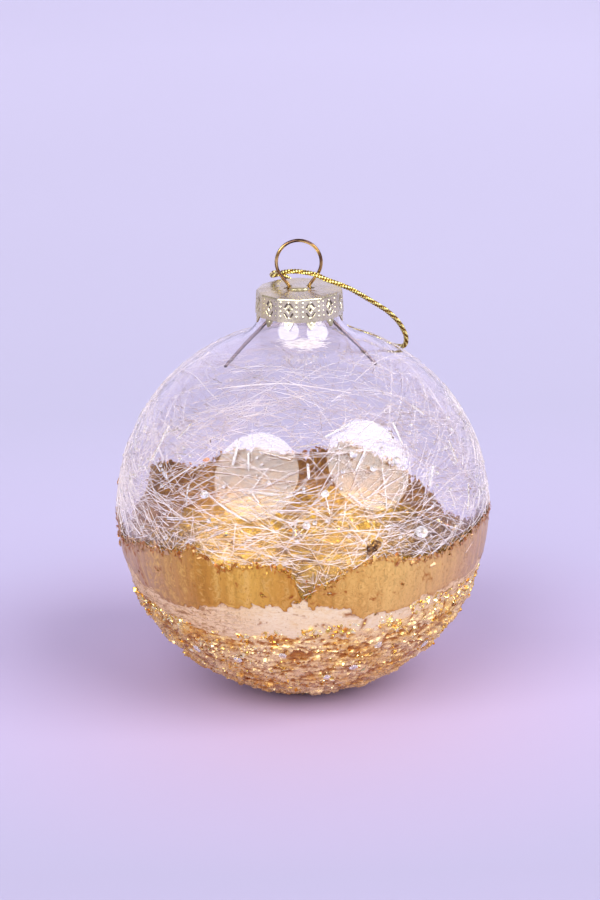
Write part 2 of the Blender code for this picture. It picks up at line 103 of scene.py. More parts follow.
# Cord loop, its knot and the knot's two tails, in mm from the ball's centre
CORD_D = 1.1 * MM
CORD_PITCH = 2.3
CORD_ROUTE = (
    (-1.5, 12.4, 47.0), (-3.5, 11.3, 48.7), (-5.2, 9.4, 49.8), (-5.8, 6.6, 50.0), (-4.9, 3.6, 50.9),
    (-3.2, 1.7, 51.9), (-1.0, 0.8, 52.3), (1.4, -0.3, 52.3), (3.6, -1.6, 52.1), (5.6, -2.0, 51.2),
    (7.9, -2.1, 50.3), (10.6, -1.6, 49.0), (12.8, -0.8, 47.5), (14.9, 0.6, 45.8), (17.1, 2.4, 43.9),
    (19.1, 4.6, 41.9), (21.4, 7.6, 38.7), (22.8, 10.6, 35.3), (23.1, 12.8, 33.1), (22.7, 15.2, 31.3),
    (21.5, 17.6, 30.5), (19.8, 19.3, 30.5), (17.4, 20.1, 31.5), (14.4, 20.6, 32.7), (11.6, 20.9, 33.6),
    (9.3, 20.5, 34.9), (7.4, 19.3, 37.3), (5.8, 17.4, 40.4), (4.4, 15.5, 43.2), (3.0, 14.0, 45.0),
)
KNOT_CENTRE = (0.8, 12.9, 46.0)
TAIL_ROUTES = (
    ("cord_tail_left", ((-1.1, 13.6, 45.3), (-2.4, 14.6, 43.8), (-3.0, 15.6, 41.9), (-3.1, 16.6, 39.8))),
    ("cord_tail_right", ((0.7, 14.3, 44.3), (0.2, 15.6, 42.6), (-0.3, 16.8, 40.6), (-0.2, 17.8, 38.7))),
)

# Radii of the surfaces over the ball, in mm
PALE_LEAF_R = 40.12
ORANGE_LEAF_R = 40.32
CRUST_INNER_R = 39.98
CRUST_OUTER_R = 40.03
# Edges of the leaf sheets, as (azimuth, latitude)
LEFT_TOP = ((-96, 3), (-88, -1), (-77, -5), (-64, -3), (-50, -1), (-40, 0), (-37, 3), (-33, 1), (-28, -1),
            (-26, -3), (-20, -1), (-12, -1), (-5, -2), (-3, -6), (-1, -10))
RIGHT_TOP = ((1, -11), (4, -7), (9, -6), (12, -3), (18, -1), (23, 1), (29, -1), (36, -3), (44, -3), (52, -2),
             (61, -1), (72, 0), (84, -1), (95, 1))
BACK_TOP = ((98, -3), (104, -9), (112, -14), (124, -14), (129, -12), (134, -9), (140, -6), (148, -3),
            (165, 3), (182, -2), (200, 2), (218, -2), (228, 3), (238, 4), (242, -4), (250, -6), (256, -8),
            (262, -4))
UPPER_BOTTOM = ((-100, -14), (-75, -13), (-57, -17), (-44, -18), (-28, -16), (-14, -14), (0, -14), (12, -15),
                (19, -19), (27, -18), (43, -17), (60, -15), (75, -14), (100, -15), (140, -17), (180, -14),
                (220, -17), (260, -14))
CRUST_TOP = -27.0


def edge_height(outline, azimuth):
    """Latitude of an edge that is given as (azimuth, latitude) points."""
    return np.interp(azimuth, *zip(*outline))


def leaf_top(azimuth):
    """Latitude of the leaf's upper edge all the way round."""
    azimuth = (azimuth + 99.0) % 360.0 - 99.0
    outline = LEFT_TOP if azimuth < 0.0 else RIGHT_TOP if azimuth < 96.0 else BACK_TOP
    return float(edge_height(outline, azimuth))


# ---------------------------------------------------------------- shapes

class Shape:
    """Points and faces gathered for one mesh, with each point's place in mm for its material."""

    def __init__(self):
        self.points, self.faces, self.lay = [], [], []

    def add(self, points, faces, lay):
        start = len(self.points)
        self.points.extend(tuple(point) for point in points)
        self.faces.extend(tuple(int(corner) + start for corner in face) for face in faces)
        self.lay.extend(tuple(spot) for spot in lay)


def build_mesh(name, shape, smooth_angle):
    mesh = bpy.data.meshes.new(name)
    mesh.from_pydata(shape.points, [], shape.faces)
    lay = mesh.attributes.new("lay", "FLOAT_VECTOR", "POINT")
    lay.data.foreach_set("vector", np.array(shape.lay, np.float32).ravel())
    mesh.update()
    if smooth_angle > 0.0:
        mesh.shade_smooth()
        mesh.set_sharp_from_angle(angle=math.radians(smooth_angle))
    return mesh


def new_object(name, data):
    made = bpy.data.objects.new(name, data)
    bpy.context.scene.collection.objects.link(made)
    return made


def add_piece(name, mesh, material, body, replaced=()):
    """Put a finished mesh in the scene on its CAD body, standing for the CAD nodes it replaces."""
    piece = new_object(name, mesh)
    mesh.materials.clear()
    mesh.materials.append(material)
    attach(piece, body)
    if replaced:
        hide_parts(*replaced)
    return piece


def piece_of(name, shape, material, body, replaced=(), smooth_angle=60.0):
    return add_piece(name, build_mesh(name, shape, smooth_angle), material, body, replaced)


def on_ball(azimuth, latitude, radius):
    """Point over the ball in the frame's own coordinates."""
    turn, rise = math.radians(azimuth), math.radians(latitude)
    flat = radius * math.cos(rise)
    return CENTRE + Vector((flat * math.sin(turn), -flat * math.cos(turn), radius * math.sin(rise)))


def outward(azimuth, latitude):
    return (on_ball(azimuth, latitude, 1.0) - CENTRE).normalized()


def headed(azimuth, latitude, heading):
    """Direction out of the ball, and the one that runs along it at heading degrees above level."""
    out = outward(azimuth, latitude)
    turn, lean = math.radians(azimuth), math.radians(heading)
    level = Vector((math.cos(turn), math.sin(turn), 0.0))
    return out, level * math.cos(lean) + out.cross(level) * math.sin(lean)


def ball_frame(azimuth, latitude, lean):
    """Rotation that turns X to lie at lean degrees above level on the ball, and Z to point out of it."""
    out, along = headed(azimuth, latitude, lean)
    return Matrix((along, out.cross(along), out)).transposed()


def rotated(points, centre, turn):
    return [turn @ Vector(point) + centre for point in points]


def laid(points, azimuth, latitude, radius, lean=0.0):
    """Points moved from the origin to a place on the ball."""
    return rotated(points, on_ball(azimuth, latitude, radius), ball_frame(azimuth, latitude, lean))


def as_array(points):
    return np.array([tuple(point) for point in points], float)


def gaps(points):
    """Distances between neighbours on a path."""
    return np.linalg.norm(np.diff(points, axis=0), axis=1)


def path_length(points):
    return float(gaps(points).sum())


def steps_along(points):
    """Distance of each point of a path from its start."""
    return np.concatenate([[0.0], np.cumsum(gaps(points))])


def even_path(fine, count):
    line = as_array(fine)
    along = steps_along(line)
    want = np.linspace(0.0, along[-1], count)
    return np.stack([np.interp(want, along, line[:, axis]) for axis in range(3)], axis=1)


def smooth_path(route, count):
    """Evenly spaced points on a Catmull-Rom curve through a route's own points."""
    knots = [Vector(point) for point in route]
    knots = [2 * knots[0] - knots[1]] + knots + [2 * knots[-1] - knots[-2]]
    fine = []
    for before, start, end, after in zip(knots, knots[1:], knots[2:], knots[3:]):
        for step in range(16):
            t = step / 16
            bend = 2 * before - 5 * start + 4 * end - after
            fine.append(0.5 * (2 * start + (end - before) * t + bend * t ** 2
                               + (3 * start - before - 3 * end + after) * t ** 3))
    fine.append(knots[-2])
    return even_path(fine, count)


def carried_sides(points, closed=False):
    """Two sides at each point of a path, carried along it without twist."""
    if closed:
        tangents = np.roll(points, -1, 0) - np.roll(points, 1, 0)
    else:
        tangents = np.gradient(points, axis=0)
    tangents /= np.linalg.norm(tangents, axis=1)[:, None]
    side = np.cross(tangents[0], (0.0, 0.0, 1.0))
    if np.linalg.norm(side) < 0.1:
        side = np.cross(tangents[0], (0.0, 1.0, 0.0))
    sides = []
    for tangent in tangents:
        side = side - tangent * side.dot(tangent)
        side /= np.linalg.norm(side)
        sides.append(side)
    sides = np.array(sides)
    return sides, np.cross(tangents, sides)


def add_tube(shape, points, radii, sides, shift=0.0, closed=False):
    """Add a round tube along points, ended by caps unless its path is closed."""
    points = as_array(points)
    count = len(points)
    right, up = carried_sides(points, closed)
    radii = np.broadcast_to(radii, (count,))
    turns = 2 * np.pi * np.arange(sides) / sides
    ring = right[:, None] * np.cos(turns)[None, :, None] + up[:, None] * np.sin(turns)[None, :, None]
    body = (points[:, None] + radii[:, None, None] * ring).reshape(-1, 3)
    lay = [(step + shift, j / sides, 0.0) for step in steps_along(points) / MM for j in range(sides)]
    faces = []
    for i in range(count if closed else count - 1):
        low, high = i * sides, (i + 1) % count * sides
        for j in range(sides):
            k = (j + 1) % sides
            faces.append((low + k, high + k, high + j, low + j))
    if not closed:
        faces += [tuple(range(sides))[::-1], tuple(range((count - 1) * sides, count * sides))]
    shape.add(body, faces, lay)


def grid_faces(rows, columns, start=0, wrap=False):
    """Quads of a grid of points stored row by row."""
    faces = []
    for i in range(rows - 1):
        low, high = start + i * columns, start + (i + 1) * columns
        for j in range(columns if wrap else columns - 1):
            k = (j + 1) % columns
            faces.append((low + j, low + k, high + k, high + j))
    return faces


def smoothstep(low, high, value):
    t = np.clip((value - low) / (high - low), 0.0, 1.0)
    return t * t * (3.0 - 2.0 * t)


# ---------------------------------------------------------------- materials

class Graph:
    """One material's node tree, with short ways to add nodes and join them."""

    def __init__(self, name, color, roughness, metallic=0.0, **constants):
        self.material = bpy.data.materials.new(name)
        self.material.use_nodes = True
        self.tree = self.material.node_tree
        self.shader = self.tree.nodes["Principled BSDF"]
        self.set("Base Color", (*color, 1.0))
        self.set("Roughness", roughness)
        self.set("Metallic", metallic)
        for socket, value in constants.items():
            self.set(socket.replace("_", " "), value)

    def join(self, value, target):
        """Link an output to an input, or give the input a plain value."""
        if isinstance(value, bpy.types.NodeSocket):
            self.tree.links.new(value, target)
        else:
            target.default_value = value

    def set(self, socket, value):
        self.join(value, self.shader.inputs[socket])

    def node(self, kind, output, settings=None, **sockets):
        made = self.tree.nodes.new("ShaderNode" + kind)
        for key, value in (settings or {}).items():
            setattr(made, key, value)
        for socket, value in sockets.items():
            self.join(value, made.inputs[socket])
        return made.outputs[output]

    def place(self):
        return self.node("TexCoord", "Object")

    def lay(self):
        return self.node("Attribute", "Vector", {"attribute_name": "lay"})

    def part(self, vector, axis):
        return self.node("SeparateXYZ", axis, Vector=vector)

    def depth(self):
        """Third part of a mesh's lay."""
        return self.part(self.lay(), "Z")

    def stretched(self, where, scale):
        return self.node("Mapping", "Vector", Vector=where, Scale=scale)

    def noise(self, where, scale, detail=3.0, roughness=0.55, distortion=0.0):
        """Noise at one scale, or at a scale for each axis."""
        if isinstance(scale, tuple):
            where, scale = self.stretched(where, scale), 1.0
        return self.node("TexNoise", "Fac", Vector=where, Scale=scale, Detail=detail, Roughness=roughness,
                         Distortion=distortion)

    def ramp(self, factor, *stops):
        made = self.tree.nodes.new("ShaderNodeValToRGB")
        ramp = made.color_ramp
        while len(ramp.elements) < len(stops):
            ramp.elements.new(0.5)
        for element, (spot, value) in zip(ramp.elements, stops):
            element.position = spot
            element.color = (*value, 1.0) if isinstance(value, tuple) else (value, value, value, 1.0)
        self.join(factor, made.inputs["Fac"])
        return made.outputs["Color"]

    def mix(self, factor, first, second, blend="MIX"):
        made = self.tree.nodes.new("ShaderNodeMix")
        made.data_type, made.blend_type = "RGBA", blend
        for index, value in ((0, factor), (6, first), (7, second)):
            self.join((*value, 1.0) if isinstance(value, tuple) else value, made.inputs[index])
        return made.outputs[2]

    def tinted(self, first, second):
        return self.mix(1.0, first, second, "MULTIPLY")

    def calc(self, operation, first, second):
        made = self.tree.nodes.new("ShaderNodeMath")
        made.operation = operation
        self.join(first, made.inputs[0])
        self.join(second, made.inputs[1])
        return made.outputs[0]

    def add(self, first, second):
        return self.calc("ADD", first, second)

    def times(self, first, second):
        return self.calc("MULTIPLY", first, second)

    def color(self, value):
        self.set("Base Color", value)

    def roughness(self, value):
        self.set("Roughness", value)

    def bump(self, height, strength, distance):
        self.set("Normal", self.node("Bump", "Normal", Height=height, Strength=strength, Distance=distance))

    def let_lamps_through(self, tint):
        """Lamps reach what is behind the glass along straight lines, so that it is lit without caustics."""
        path = self.tree.nodes.new("ShaderNodeLightPath")
        rays = self.calc("MAXIMUM", path.outputs["Is Shadow Ray"], path.outputs["Is Diffuse Ray"])
        mixed = self.tree.nodes.new("ShaderNodeMixShader")
        self.join(rays, mixed.inputs[0])
        self.join(self.shader.outputs[0], mixed.inputs[1])
        self.join(self.node("BsdfTransparent", "BSDF", Color=(*tint, 1.0)), mixed.inputs[2])
        self.join(mixed.outputs[0], self.tree.nodes["Material Output"].inputs["Surface"])


# Tints of the glass, and what they leave of a lamp's light
BALL_TINT, BALL_SHADE = (0.988, 0.972, 0.992), (0.97, 0.955, 0.94)
FINE_TINT, BRIGHT_TINT, ROD_TINT = (0.93, 0.86, 0.89), (0.93, 0.87, 0.90), (0.97, 0.955, 0.95)
HAIR_SHADE = (0.88, 0.86, 0.84)
BEHIND_LEAF_TINT = (0.48, 0.29, 0.06)

# Bright, middle and dark tone of the side that lies on the glass; its bright pools stand for caustic light
# and its dark ones for shade, both painted
INNER_ORANGE = ((0.44, 0.21, 0.02), (0.29, 0.12, 0.012), (0.15, 0.05, 0.01))
INNER_PALE = ((0.48, 0.27, 0.02), (0.29, 0.14, 0.012), (0.14, 0.055, 0.008))
INNER_CRUST = ((0.50, 0.30, 0.02), (0.30, 0.155, 0.012), (0.14, 0.06, 0.008))
INNER_ROUGHNESS = (0.34, 0.34, 0.34)

# Tone of the orange leaf from the left limb to the right one, with a painted sheen: lightest in two bands
# across the front
ORANGE_ROUND_AND_SHEEN = ((0.03, (0.54, 0.33, 0.19)), (0.13, (0.56, 0.31, 0.12)), (0.24, (0.52, 0.24, 0.04)),
                (0.36, (0.72, 0.41, 0.08)), (0.46, (0.58, 0.28, 0.05)), (0.55, (0.64, 0.34, 0.08)),
                (0.72, (0.76, 0.47, 0.15)), (0.90, (0.66, 0.39, 0.17)), (0.98, (0.56, 0.34, 0.20)))
ORANGE_EDGE, PALE_EDGE = (0.36, 0.11, 0.02), (0.36, 0.14, 0.04)


def clear_glass():
    graph = Graph("clear_glass", BALL_TINT, 0.0, Transmission_Weight=1.0, IOR=1.5)
    smears = graph.ramp(graph.noise(graph.place(), 60.0, 4.0), (0.45, 0.0), (0.75, 0.045))
    below = graph.times(graph.depth(), -0.05)
    graph.roughness(graph.calc("MAXIMUM", smears, graph.ramp(below, (0.10, 0.0), (0.30, 0.17))))
    graph.set("Specular Tint", graph.ramp(below, (0.25, (1.0, 1.0, 1.0)), (0.45, BEHIND_LEAF_TINT)))
    graph.bump(graph.noise(graph.place(), 110.0, 3.0), 0.06, 0.6 * MM)
    graph.let_lamps_through(BALL_SHADE)
    return graph.material


def hair_glass(name, color, transmission):
    graph = Graph(name, color, 0.12, Transmission_Weight=transmission, IOR=1.5)
    along = graph.noise(graph.place(), 500.0, 2.0)
    graph.color(graph.ramp(along, (0.35, tuple(0.84 * part for part in color)), (0.62, color)))
    graph.roughness(graph.ramp(along, (0.3, 0.06), (0.7, 0.2)))
    graph.let_lamps_through(HAIR_SHADE)
    return graph.material


def inner_gold(graph, bright, middle, dark):
    """Mottled gold of the side that lies on the glass, seen through the ball: bright pools of painted caustic
    light, dark ones of painted shade.
    """
    light_and_shade_pools = graph.noise(graph.lay(), (0.20, 0.42, 1.0), 5.0, 0.6, 0.4)
    grain = graph.noise(graph.lay(), (1.1, 1.6, 1.0), 4.0, 0.65)
    gold = graph.ramp(light_and_shade_pools, (0.36, dark), (0.47, middle), (0.62, bright))
    return graph.mix(graph.ramp(grain, (0.42, 0.65), (0.56, 0.0)), gold, dark)


def dress_leaf(graph, gold, edge_color, inner, rough):
    """Darken a leaf where its depth is small: at torn edges and cracks, and as painted shade in a flake's
    hollows. Give the side that lies on the glass its own tone and roughness.
    """
    depth = graph.depth()
    inward = graph.calc("LESS_THAN", depth, 0.0)
    inside = graph.times(graph.calc("ABSOLUTE", depth, 0.0), 0.4)
    rim = graph.ramp(inside, (0.03, 1.0), (0.36, 0.0))
    speckle = graph.ramp(graph.noise(graph.place(), 800.0, 3.0), (0.40, 0.15), (0.56, 1.0))
    gold = graph.mix(graph.times(rim, speckle), gold, edge_color)
    graph.color(graph.mix(inward, gold, inner_gold(graph, *inner)))
    graph.roughness(graph.mix(inward, rough, INNER_ROUGHNESS))


def orange_leaf():
    graph = Graph("gold_leaf_orange", (0.80, 0.50, 0.14), 0.36, 0.62, Specular_IOR_Level=0.2)
    lay = graph.lay()
    streaks = graph.noise(lay, (0.9, 0.10, 1.0), 4.0, 0.5)
    cloud = graph.noise(lay, (0.45, 0.018, 1.0), 3.0)
    scuffs = graph.noise(lay, (2.6, 1.4, 1.0), 4.0, 0.7)
    round_ball = graph.times(graph.add(graph.part(lay, "X"), 45.0), 1.0 / 90.0)
    round_ball = graph.add(round_ball, graph.times(graph.add(cloud, -0.5), 0.16))
    # The tone round the ball carries the painted sheen
    gold = graph.ramp(round_ball, *ORANGE_ROUND_AND_SHEEN)
    gold = graph.tinted(gold, graph.ramp(streaks, (0.33, 0.76), (0.50, 0.95), (0.64, 1.0)))
    gold = graph.mix(graph.ramp(cloud, (0.50, 0.0), (0.66, 0.45)), gold, (0.88, 0.58, 0.18))
    gold = graph.mix(graph.ramp(scuffs, (0.34, 0.8), (0.43, 0.0)), gold, (0.46, 0.19, 0.04))
    dress_leaf(graph, gold, ORANGE_EDGE, INNER_ORANGE, graph.ramp(streaks, (0.3, 0.40), (0.7, 0.28)))
    graph.bump(graph.noise(lay, (2.4, 0.3, 1.0), 3.0), 0.35, 0.05 * MM)
    return graph.material


def pale_leaf():
    graph = Graph("gold_leaf_pale", (0.86, 0.71, 0.46), 0.42, 0.55, Specular_IOR_Level=0.2)
    lay = graph.lay()
    cloud = graph.noise(lay, (0.10, 0.16, 1.0), 3.0)
    fine = graph.noise(lay, (0.7, 2.2, 1.0), 4.0, 0.65)
    dots = graph.noise(graph.place(), 1500.0, 3.0, 0.6)
    gold = graph.ramp(fine, (0.30, (0.76, 0.54, 0.30)), (0.44, (0.86, 0.70, 0.44)),
                      (0.70, (0.91, 0.78, 0.55)))
    gold = graph.mix(graph.ramp(cloud, (0.46, 0.0), (0.68, 0.6)), gold, (0.82, 0.60, 0.30))
    gold = graph.mix(graph.ramp(dots, (0.30, 0.6), (0.39, 0.0)), gold, (0.46, 0.26, 0.10))
    # Away from the front, crumpled strands are painted into the colour as light ridges and dark lines:
    # painted highlight and shade of their relief
    aside = graph.calc("ABSOLUTE", graph.add(graph.part(lay, "X"), -6.0), 0.0)
    aside = graph.ramp(graph.times(aside, 0.015), (0.20, 0.0), (0.44, 1.0))
    strands = graph.noise(lay, (0.28, 1.5, 1.0), 4.0, 0.7, 0.6)
    strands = graph.ramp(strands, (0.40, (0.48, 0.32, 0.22)), (0.47, (0.84, 0.70, 0.58)),
                         (0.54, (0.98, 0.88, 0.80)))
    gold = graph.mix(aside, gold, graph.tinted(gold, strands))
    dress_leaf(graph, gold, PALE_EDGE, INNER_PALE, graph.ramp(fine, (0.3, 0.48), (0.7, 0.36)))
    graph.bump(fine, 0.30, 0.07 * MM)
    return graph.material


def burnt_leaf():
    graph = Graph("burnt_leaf", (0.20, 0.10, 0.04), 0.45, 0.6)
    tone = graph.noise(graph.place(), 900.0, 3.0)
    graph.color(graph.ramp(tone, (0.42, (0.07, 0.03, 0.015)), (0.54, (0.22, 0.11, 0.04)),
                           (0.68, (0.60, 0.34, 0.09))))
    graph.roughness(graph.ramp(tone, (0.3, 0.6), (0.7, 0.3)))
    return graph.material


def crust_gold():
    graph = Graph("crust_gold", (0.76, 0.50, 0.20), 0.28, 0.68, Specular_IOR_Level=0.3)
    place = graph.place()
    broad = graph.noise(place, 150.0, 3.0)
    fine = graph.noise(graph.stretched(place, (1.0, 1.0, 2.2)), 520.0, 5.0, 0.7)
    height = graph.depth()
    gold = graph.ramp(fine, (0.35, (0.52, 0.20, 0.03)), (0.44, (0.80, 0.48, 0.13)),
                      (0.60, (0.95, 0.69, 0.31)))
    gold = graph.mix(graph.ramp(broad, (0.42, 0.0), (0.58, 0.75)), gold, (0.90, 0.68, 0.38))
    gold = graph.mix(graph.ramp(broad, (0.34, 0.6), (0.42, 0.0)), gold, (0.70, 0.33, 0.07))
    # Low places of the crust are painted dark red-brown: painted shade in its crevices
    crevice_shade = graph.ramp(height, (0.14, 1.0), (0.42, 0.0))
    gold = graph.mix(graph.times(crevice_shade, 0.9), gold, (0.42, 0.14, 0.02))
    left = graph.ramp(graph.times(graph.part(place, "X"), -25.0), (0.25, 0.0), (0.75, 1.0))
    gold = graph.mix(left, gold, graph.tinted(gold, (0.84, 0.78, 0.74)))
    inward = graph.calc("LESS_THAN", height, 0.0)
    graph.color(graph.mix(inward, gold, inner_gold(graph, *INNER_CRUST)))
    graph.roughness(graph.ramp(fine, (0.3, 0.34), (0.7, 0.15)))
    facets = graph.node("TexVoronoi", "Distance", Vector=graph.stretched(place, (1.0, 1.0, 1.7)), Scale=650.0)
    graph.bump(graph.add(facets, fine), 0.8, 0.30 * MM)
    return graph.material


def chip_gold():
    graph = Graph("gold_chips", (0.85, 0.66, 0.28), 0.12, 1.0)
    tone = graph.noise(graph.place(), 350.0, 2.0)
    graph.color(graph.ramp(tone, (0.40, (0.66, 0.30, 0.04)), (0.5, (0.92, 0.70, 0.20)),
                           (0.60, (1.0, 0.95, 0.58))))
    graph.roughness(graph.ramp(tone, (0.35, 0.22), (0.65, 0.06)))
    return graph.material


def cap_metal():
    graph = Graph("cap_champagne", (0.64, 0.58, 0.40), 0.30, 1.0)
    place = graph.place()
    metal = graph.ramp(graph.noise(place, 220.0, 3.0), (0.35, (0.58, 0.52, 0.36)), (0.65, (0.76, 0.71, 0.52)))
    yellow = graph.ramp(graph.noise(place, 90.0, 2.0), (0.48, 0.0), (0.62, 0.7))
    metal = graph.mix(yellow, metal, (0.74, 0.63, 0.31))
    # The pressed hollows of the panels, the core and the slots, are painted nearly black: painted shade
    hollow_shade = graph.ramp(graph.depth(), (0.32, 1.0), (0.46, 0.0))
    graph.color(graph.mix(hollow_shade, metal, (0.17, 0.135, 0.10)))
    graph.roughness(graph.ramp(graph.noise(place, 1800.0, 3.0), (0.3, 0.20), (0.7, 0.36)))
    graph.bump(graph.noise(place, 2200.0, 3.0), 0.25, 0.03 * MM)
    return graph.material


def wire_gold():
    graph = Graph("wire_gold", (0.60, 0.38, 0.14), 0.12, 1.0)
    tone = graph.noise(graph.lay(), (0.22, 2.6, 1.0), 3.0)
    ring = graph.ramp(tone, (0.42, (0.07, 0.035, 0.035)), (0.52, (0.36, 0.20, 0.06)),
                      (0.63, (0.88, 0.64, 0.25)))
    legs = graph.ramp(tone, (0.35, (0.10, 0.065, 0.065)), (0.65, (0.22, 0.145, 0.13)))
    graph.color(graph.mix(graph.ramp(graph.depth(), (0.40, 0.0), (0.60, 1.0)), legs, ring))
    graph.roughness(graph.ramp(tone, (0.3, 0.10), (0.7, 0.20)))
    return graph.material


def cord_gold():
    graph = Graph("cord_gold", (0.66, 0.44, 0.09), 0.28, 0.9)
    # Bands along the cord, one at each crossing of the plies, run from dark brown to bright yellow: painted
    # glints on the wraps; the same bands set roughness and bump
    wraps_and_glints = graph.node("TexWave", "Fac", {"bands_direction": "X"}, Scale=0.41, Distortion=0.7, Detail=2.0,
                       Vector=graph.stretched(graph.lay(), (1.0, 0.55, 0.0)))
    gold = graph.ramp(wraps_and_glints, (0.20, (0.20, 0.09, 0.01)), (0.5, (0.66, 0.44, 0.06)), (0.80, (1.0, 0.94, 0.34)))
    # Ply surface that lies close to the cord's middle is painted nearly black: painted shade in the grooves
    # between the plies
    groove_shade = graph.ramp(graph.depth(), (0.30, 1.0), (0.45, 0.0))
    graph.color(graph.mix(groove_shade, gold, (0.07, 0.03, 0.008)))
    graph.roughness(graph.ramp(wraps_and_glints, (0.2, 0.45), (0.8, 0.14)))
    graph.bump(wraps_and_glints, 0.8, 0.12 * MM)
    return graph.material


def backdrop_paper():
    graph = Graph("backdrop_lavender", (0.45, 0.42, 0.57), 0.9)
    place = graph.place()
    # From front to back the paper is painted lighter and darker as light and shade: darker in front, lighter
    # just behind the ball, where it lifts the ball's soft shadows, a little darker beyond, and lightest far
    # back
    back = graph.times(graph.add(graph.part(place, "Y"), 0.15), 1.18)
    paper = graph.ramp(back, (0.05, (0.365, 0.336, 0.480)), (0.22, (0.462, 0.414, 0.612)),
                       (0.42, (0.425, 0.402, 0.550)), (0.98, (0.530, 0.500, 0.660)))
    paper = graph.tinted(paper, graph.ramp(graph.noise(place, 2.2, 2.0), (0.3, 0.96), (0.7, 1.0)))
    # A pink tint round the ball's foot is painted light: the warm glow that the gold throws onto the paper
    near = graph.node("VectorMath", "Value", {"operation": "LENGTH"},
                      Vector=graph.stretched(place, (10.0, 9.0, 5.0)))
    graph.color(graph.mix(graph.ramp(near, (0.15, 0.75), (1.0, 0.0)), paper, (0.455, 0.322, 0.498)))
    graph.bump(graph.noise(place, 900.0, 3.0), 0.05, 0.2 * MM)
    return graph.material


# ---------------------------------------------------------------- camera, light and floor

def make_camera():
    data = bpy.data.cameras.new("camera")
    data.sensor_width = SENSOR_WIDTH
    data.lens = CAMERA_LENS
    data.clip_start, data.clip_end = 0.01, 20.0
    camera = new_object("camera", data)
    rise = math.radians(CAMERA_RISE)
    back = Vector((0.0, -math.cos(rise), math.sin(rise)))
    camera.location = CENTRE + CAMERA_DISTANCE * back
    per_radian = CAMERA_LENS * FRAME_SIZE[1] / SENSOR_WIDTH
    tilt = math.atan((BALL_SPOT[1] - FRAME_SIZE[1] / 2) / per_radian)
    pan = math.atan((BALL_SPOT[0] - FRAME_SIZE[0] / 2) / per_radian)
    facing = back.to_track_quat("Z", "Y").to_matrix()
    roll = Matrix.Rotation(math.radians(CAMERA_ROLL), 3, "Z")
    facing = facing @ Euler((tilt, pan, 0.0)).to_matrix() @ roll
    camera.rotation_euler = facing.to_euler()
    bpy.context.scene.camera = camera


def make_lights():
    for name, azimuth, elevation, radiance in SOFTBOXES:
        data = bpy.data.lights.new(name, "AREA")
        data.shape = "DISK"
        data.size = SOFTBOX_SIZE
        data.energy = radiance * math.pi * math.pi * SOFTBOX_SIZE ** 2 / 4
        lamp = new_object(name, data)
        spot = on_ball(azimuth, elevation, SOFTBOX_REACH)
        lamp.location = spot
        lamp.rotation_euler = (spot - CENTRE).to_track_quat("Z", "Y").to_euler()
    world = bpy.data.worlds.new("studio")
    world.use_nodes = True
    sky = world.node_tree.nodes["Background"]
    sky.inputs["Color"].default_value = (0.82, 0.78, 0.92, 1.0)
    sky.inputs["Strength"].default_value = 0.45
    bpy.context.scene.world = world
    bpy.context.scene.view_settings.view_transform = "Standard"


def make_floor():
    """Seamless paper: a level floor that curves up behind the ornament."""
    front, back, curve_r, top, half_width, steps = -1.6, 0.8, 0.5, 2.2, 2.0, 12
    profile = [(front, 0.0), (back, 0.0)]
    for step in range(1, steps + 1):
        turn = math.pi / 2 * step / steps
        profile.append((back + curve_r * math.sin(turn), curve_r - curve_r * math.cos(turn)))
    profile.append((back + curve_r, top))
    points = [(x, y, z) for y, z in profile for x in (-half_width, half_width)]
    mesh = bpy.data.meshes.new("backdrop")
    mesh.from_pydata(points, [], [face[::-1] for face in grid_faces(len(profile), 2)])
    mesh.shade_smooth()
    mesh.materials.append(backdrop_paper())
    new_object("backdrop", mesh)


# ---------------------------------------------------------------- cord

PLIES = 3
PLY_SIDES = 10
KNOT_SIZE = 0.41
KNOT_TURN = (1.1, 0.3, 0.5)


def mm_points(route):
    return [CENTRE + Vector(point) * MM for point in route]


def add_twist(shape, path, diameter, pitch, closed=False, fray=0.0):
    """Three plies laid round a path; with fray they spread apart towards its end."""
    right, up = carried_sides(path, closed)
    along = steps_along(path) / MM
    ply_r = 0.235 * diameter
    share = along / along[-1]
    lay_r = (diameter / 2 - ply_r) * (1.0 + fray * share ** 3)
    radii = ply_r * (1.0 - 0.25 * (fray > 0.0) * share ** 4)
    for ply in range(PLIES):
        turns = 2 * np.pi * (along / pitch + ply / PLIES)
        middle = path + lay_r[:, None] * (right * np.cos(turns)[:, None] + up * np.sin(turns)[:, None])
        first = len(shape.points)
        add_tube(shape, middle, radii, PLY_SIDES, 7.7 * ply, closed)
        for index in range(first, len(shape.points)):
            away = math.dist(shape.points[index], path[(index - first) // PLY_SIDES]) / diameter
            shape.lay[index] = (*shape.lay[index][:2], away)


def twist_piece(name, material, node, *twist, **options):
    shape = Shape()
    add_twist(shape, *twist, **options)
    return piece_of(name, shape, material, "cap", [node])


def make_cord(material):
    path = smooth_path(mm_points(CORD_ROUTE), 420)
    loop = twist_piece("cord_loop", material, "hanger_cord", path, CORD_D, CORD_PITCH)

    turns = np.linspace(0.0, 2 * np.pi, 160, endpoint=False)
    knot = KNOT_SIZE * np.stack([np.sin(turns) + 2 * np.sin(2 * turns), np.cos(turns) - 2 * np.cos(2 * turns),
                                 -1.3 * np.sin(3 * turns)], axis=1)
    knot = rotated(knot, Vector(KNOT_CENTRE), Euler(KNOT_TURN).to_matrix())
    knot = as_array(mm_points(knot))
    knot_length = path_length(knot) / MM
    pitch = knot_length / round(knot_length / CORD_PITCH)
    bound = twist_piece("cord_overhand_knot", material, "cord_knot", knot, 0.9 * CORD_D, pitch, closed=True)

    tails = [twist_piece(f"{node}_twist", material, node, smooth_path(mm_points(route), 60), 0.9 * CORD_D,
                         CORD_PITCH, fray=1.1) for node, route in TAIL_ROUTES]


# ---------------------------------------------------------------- glass

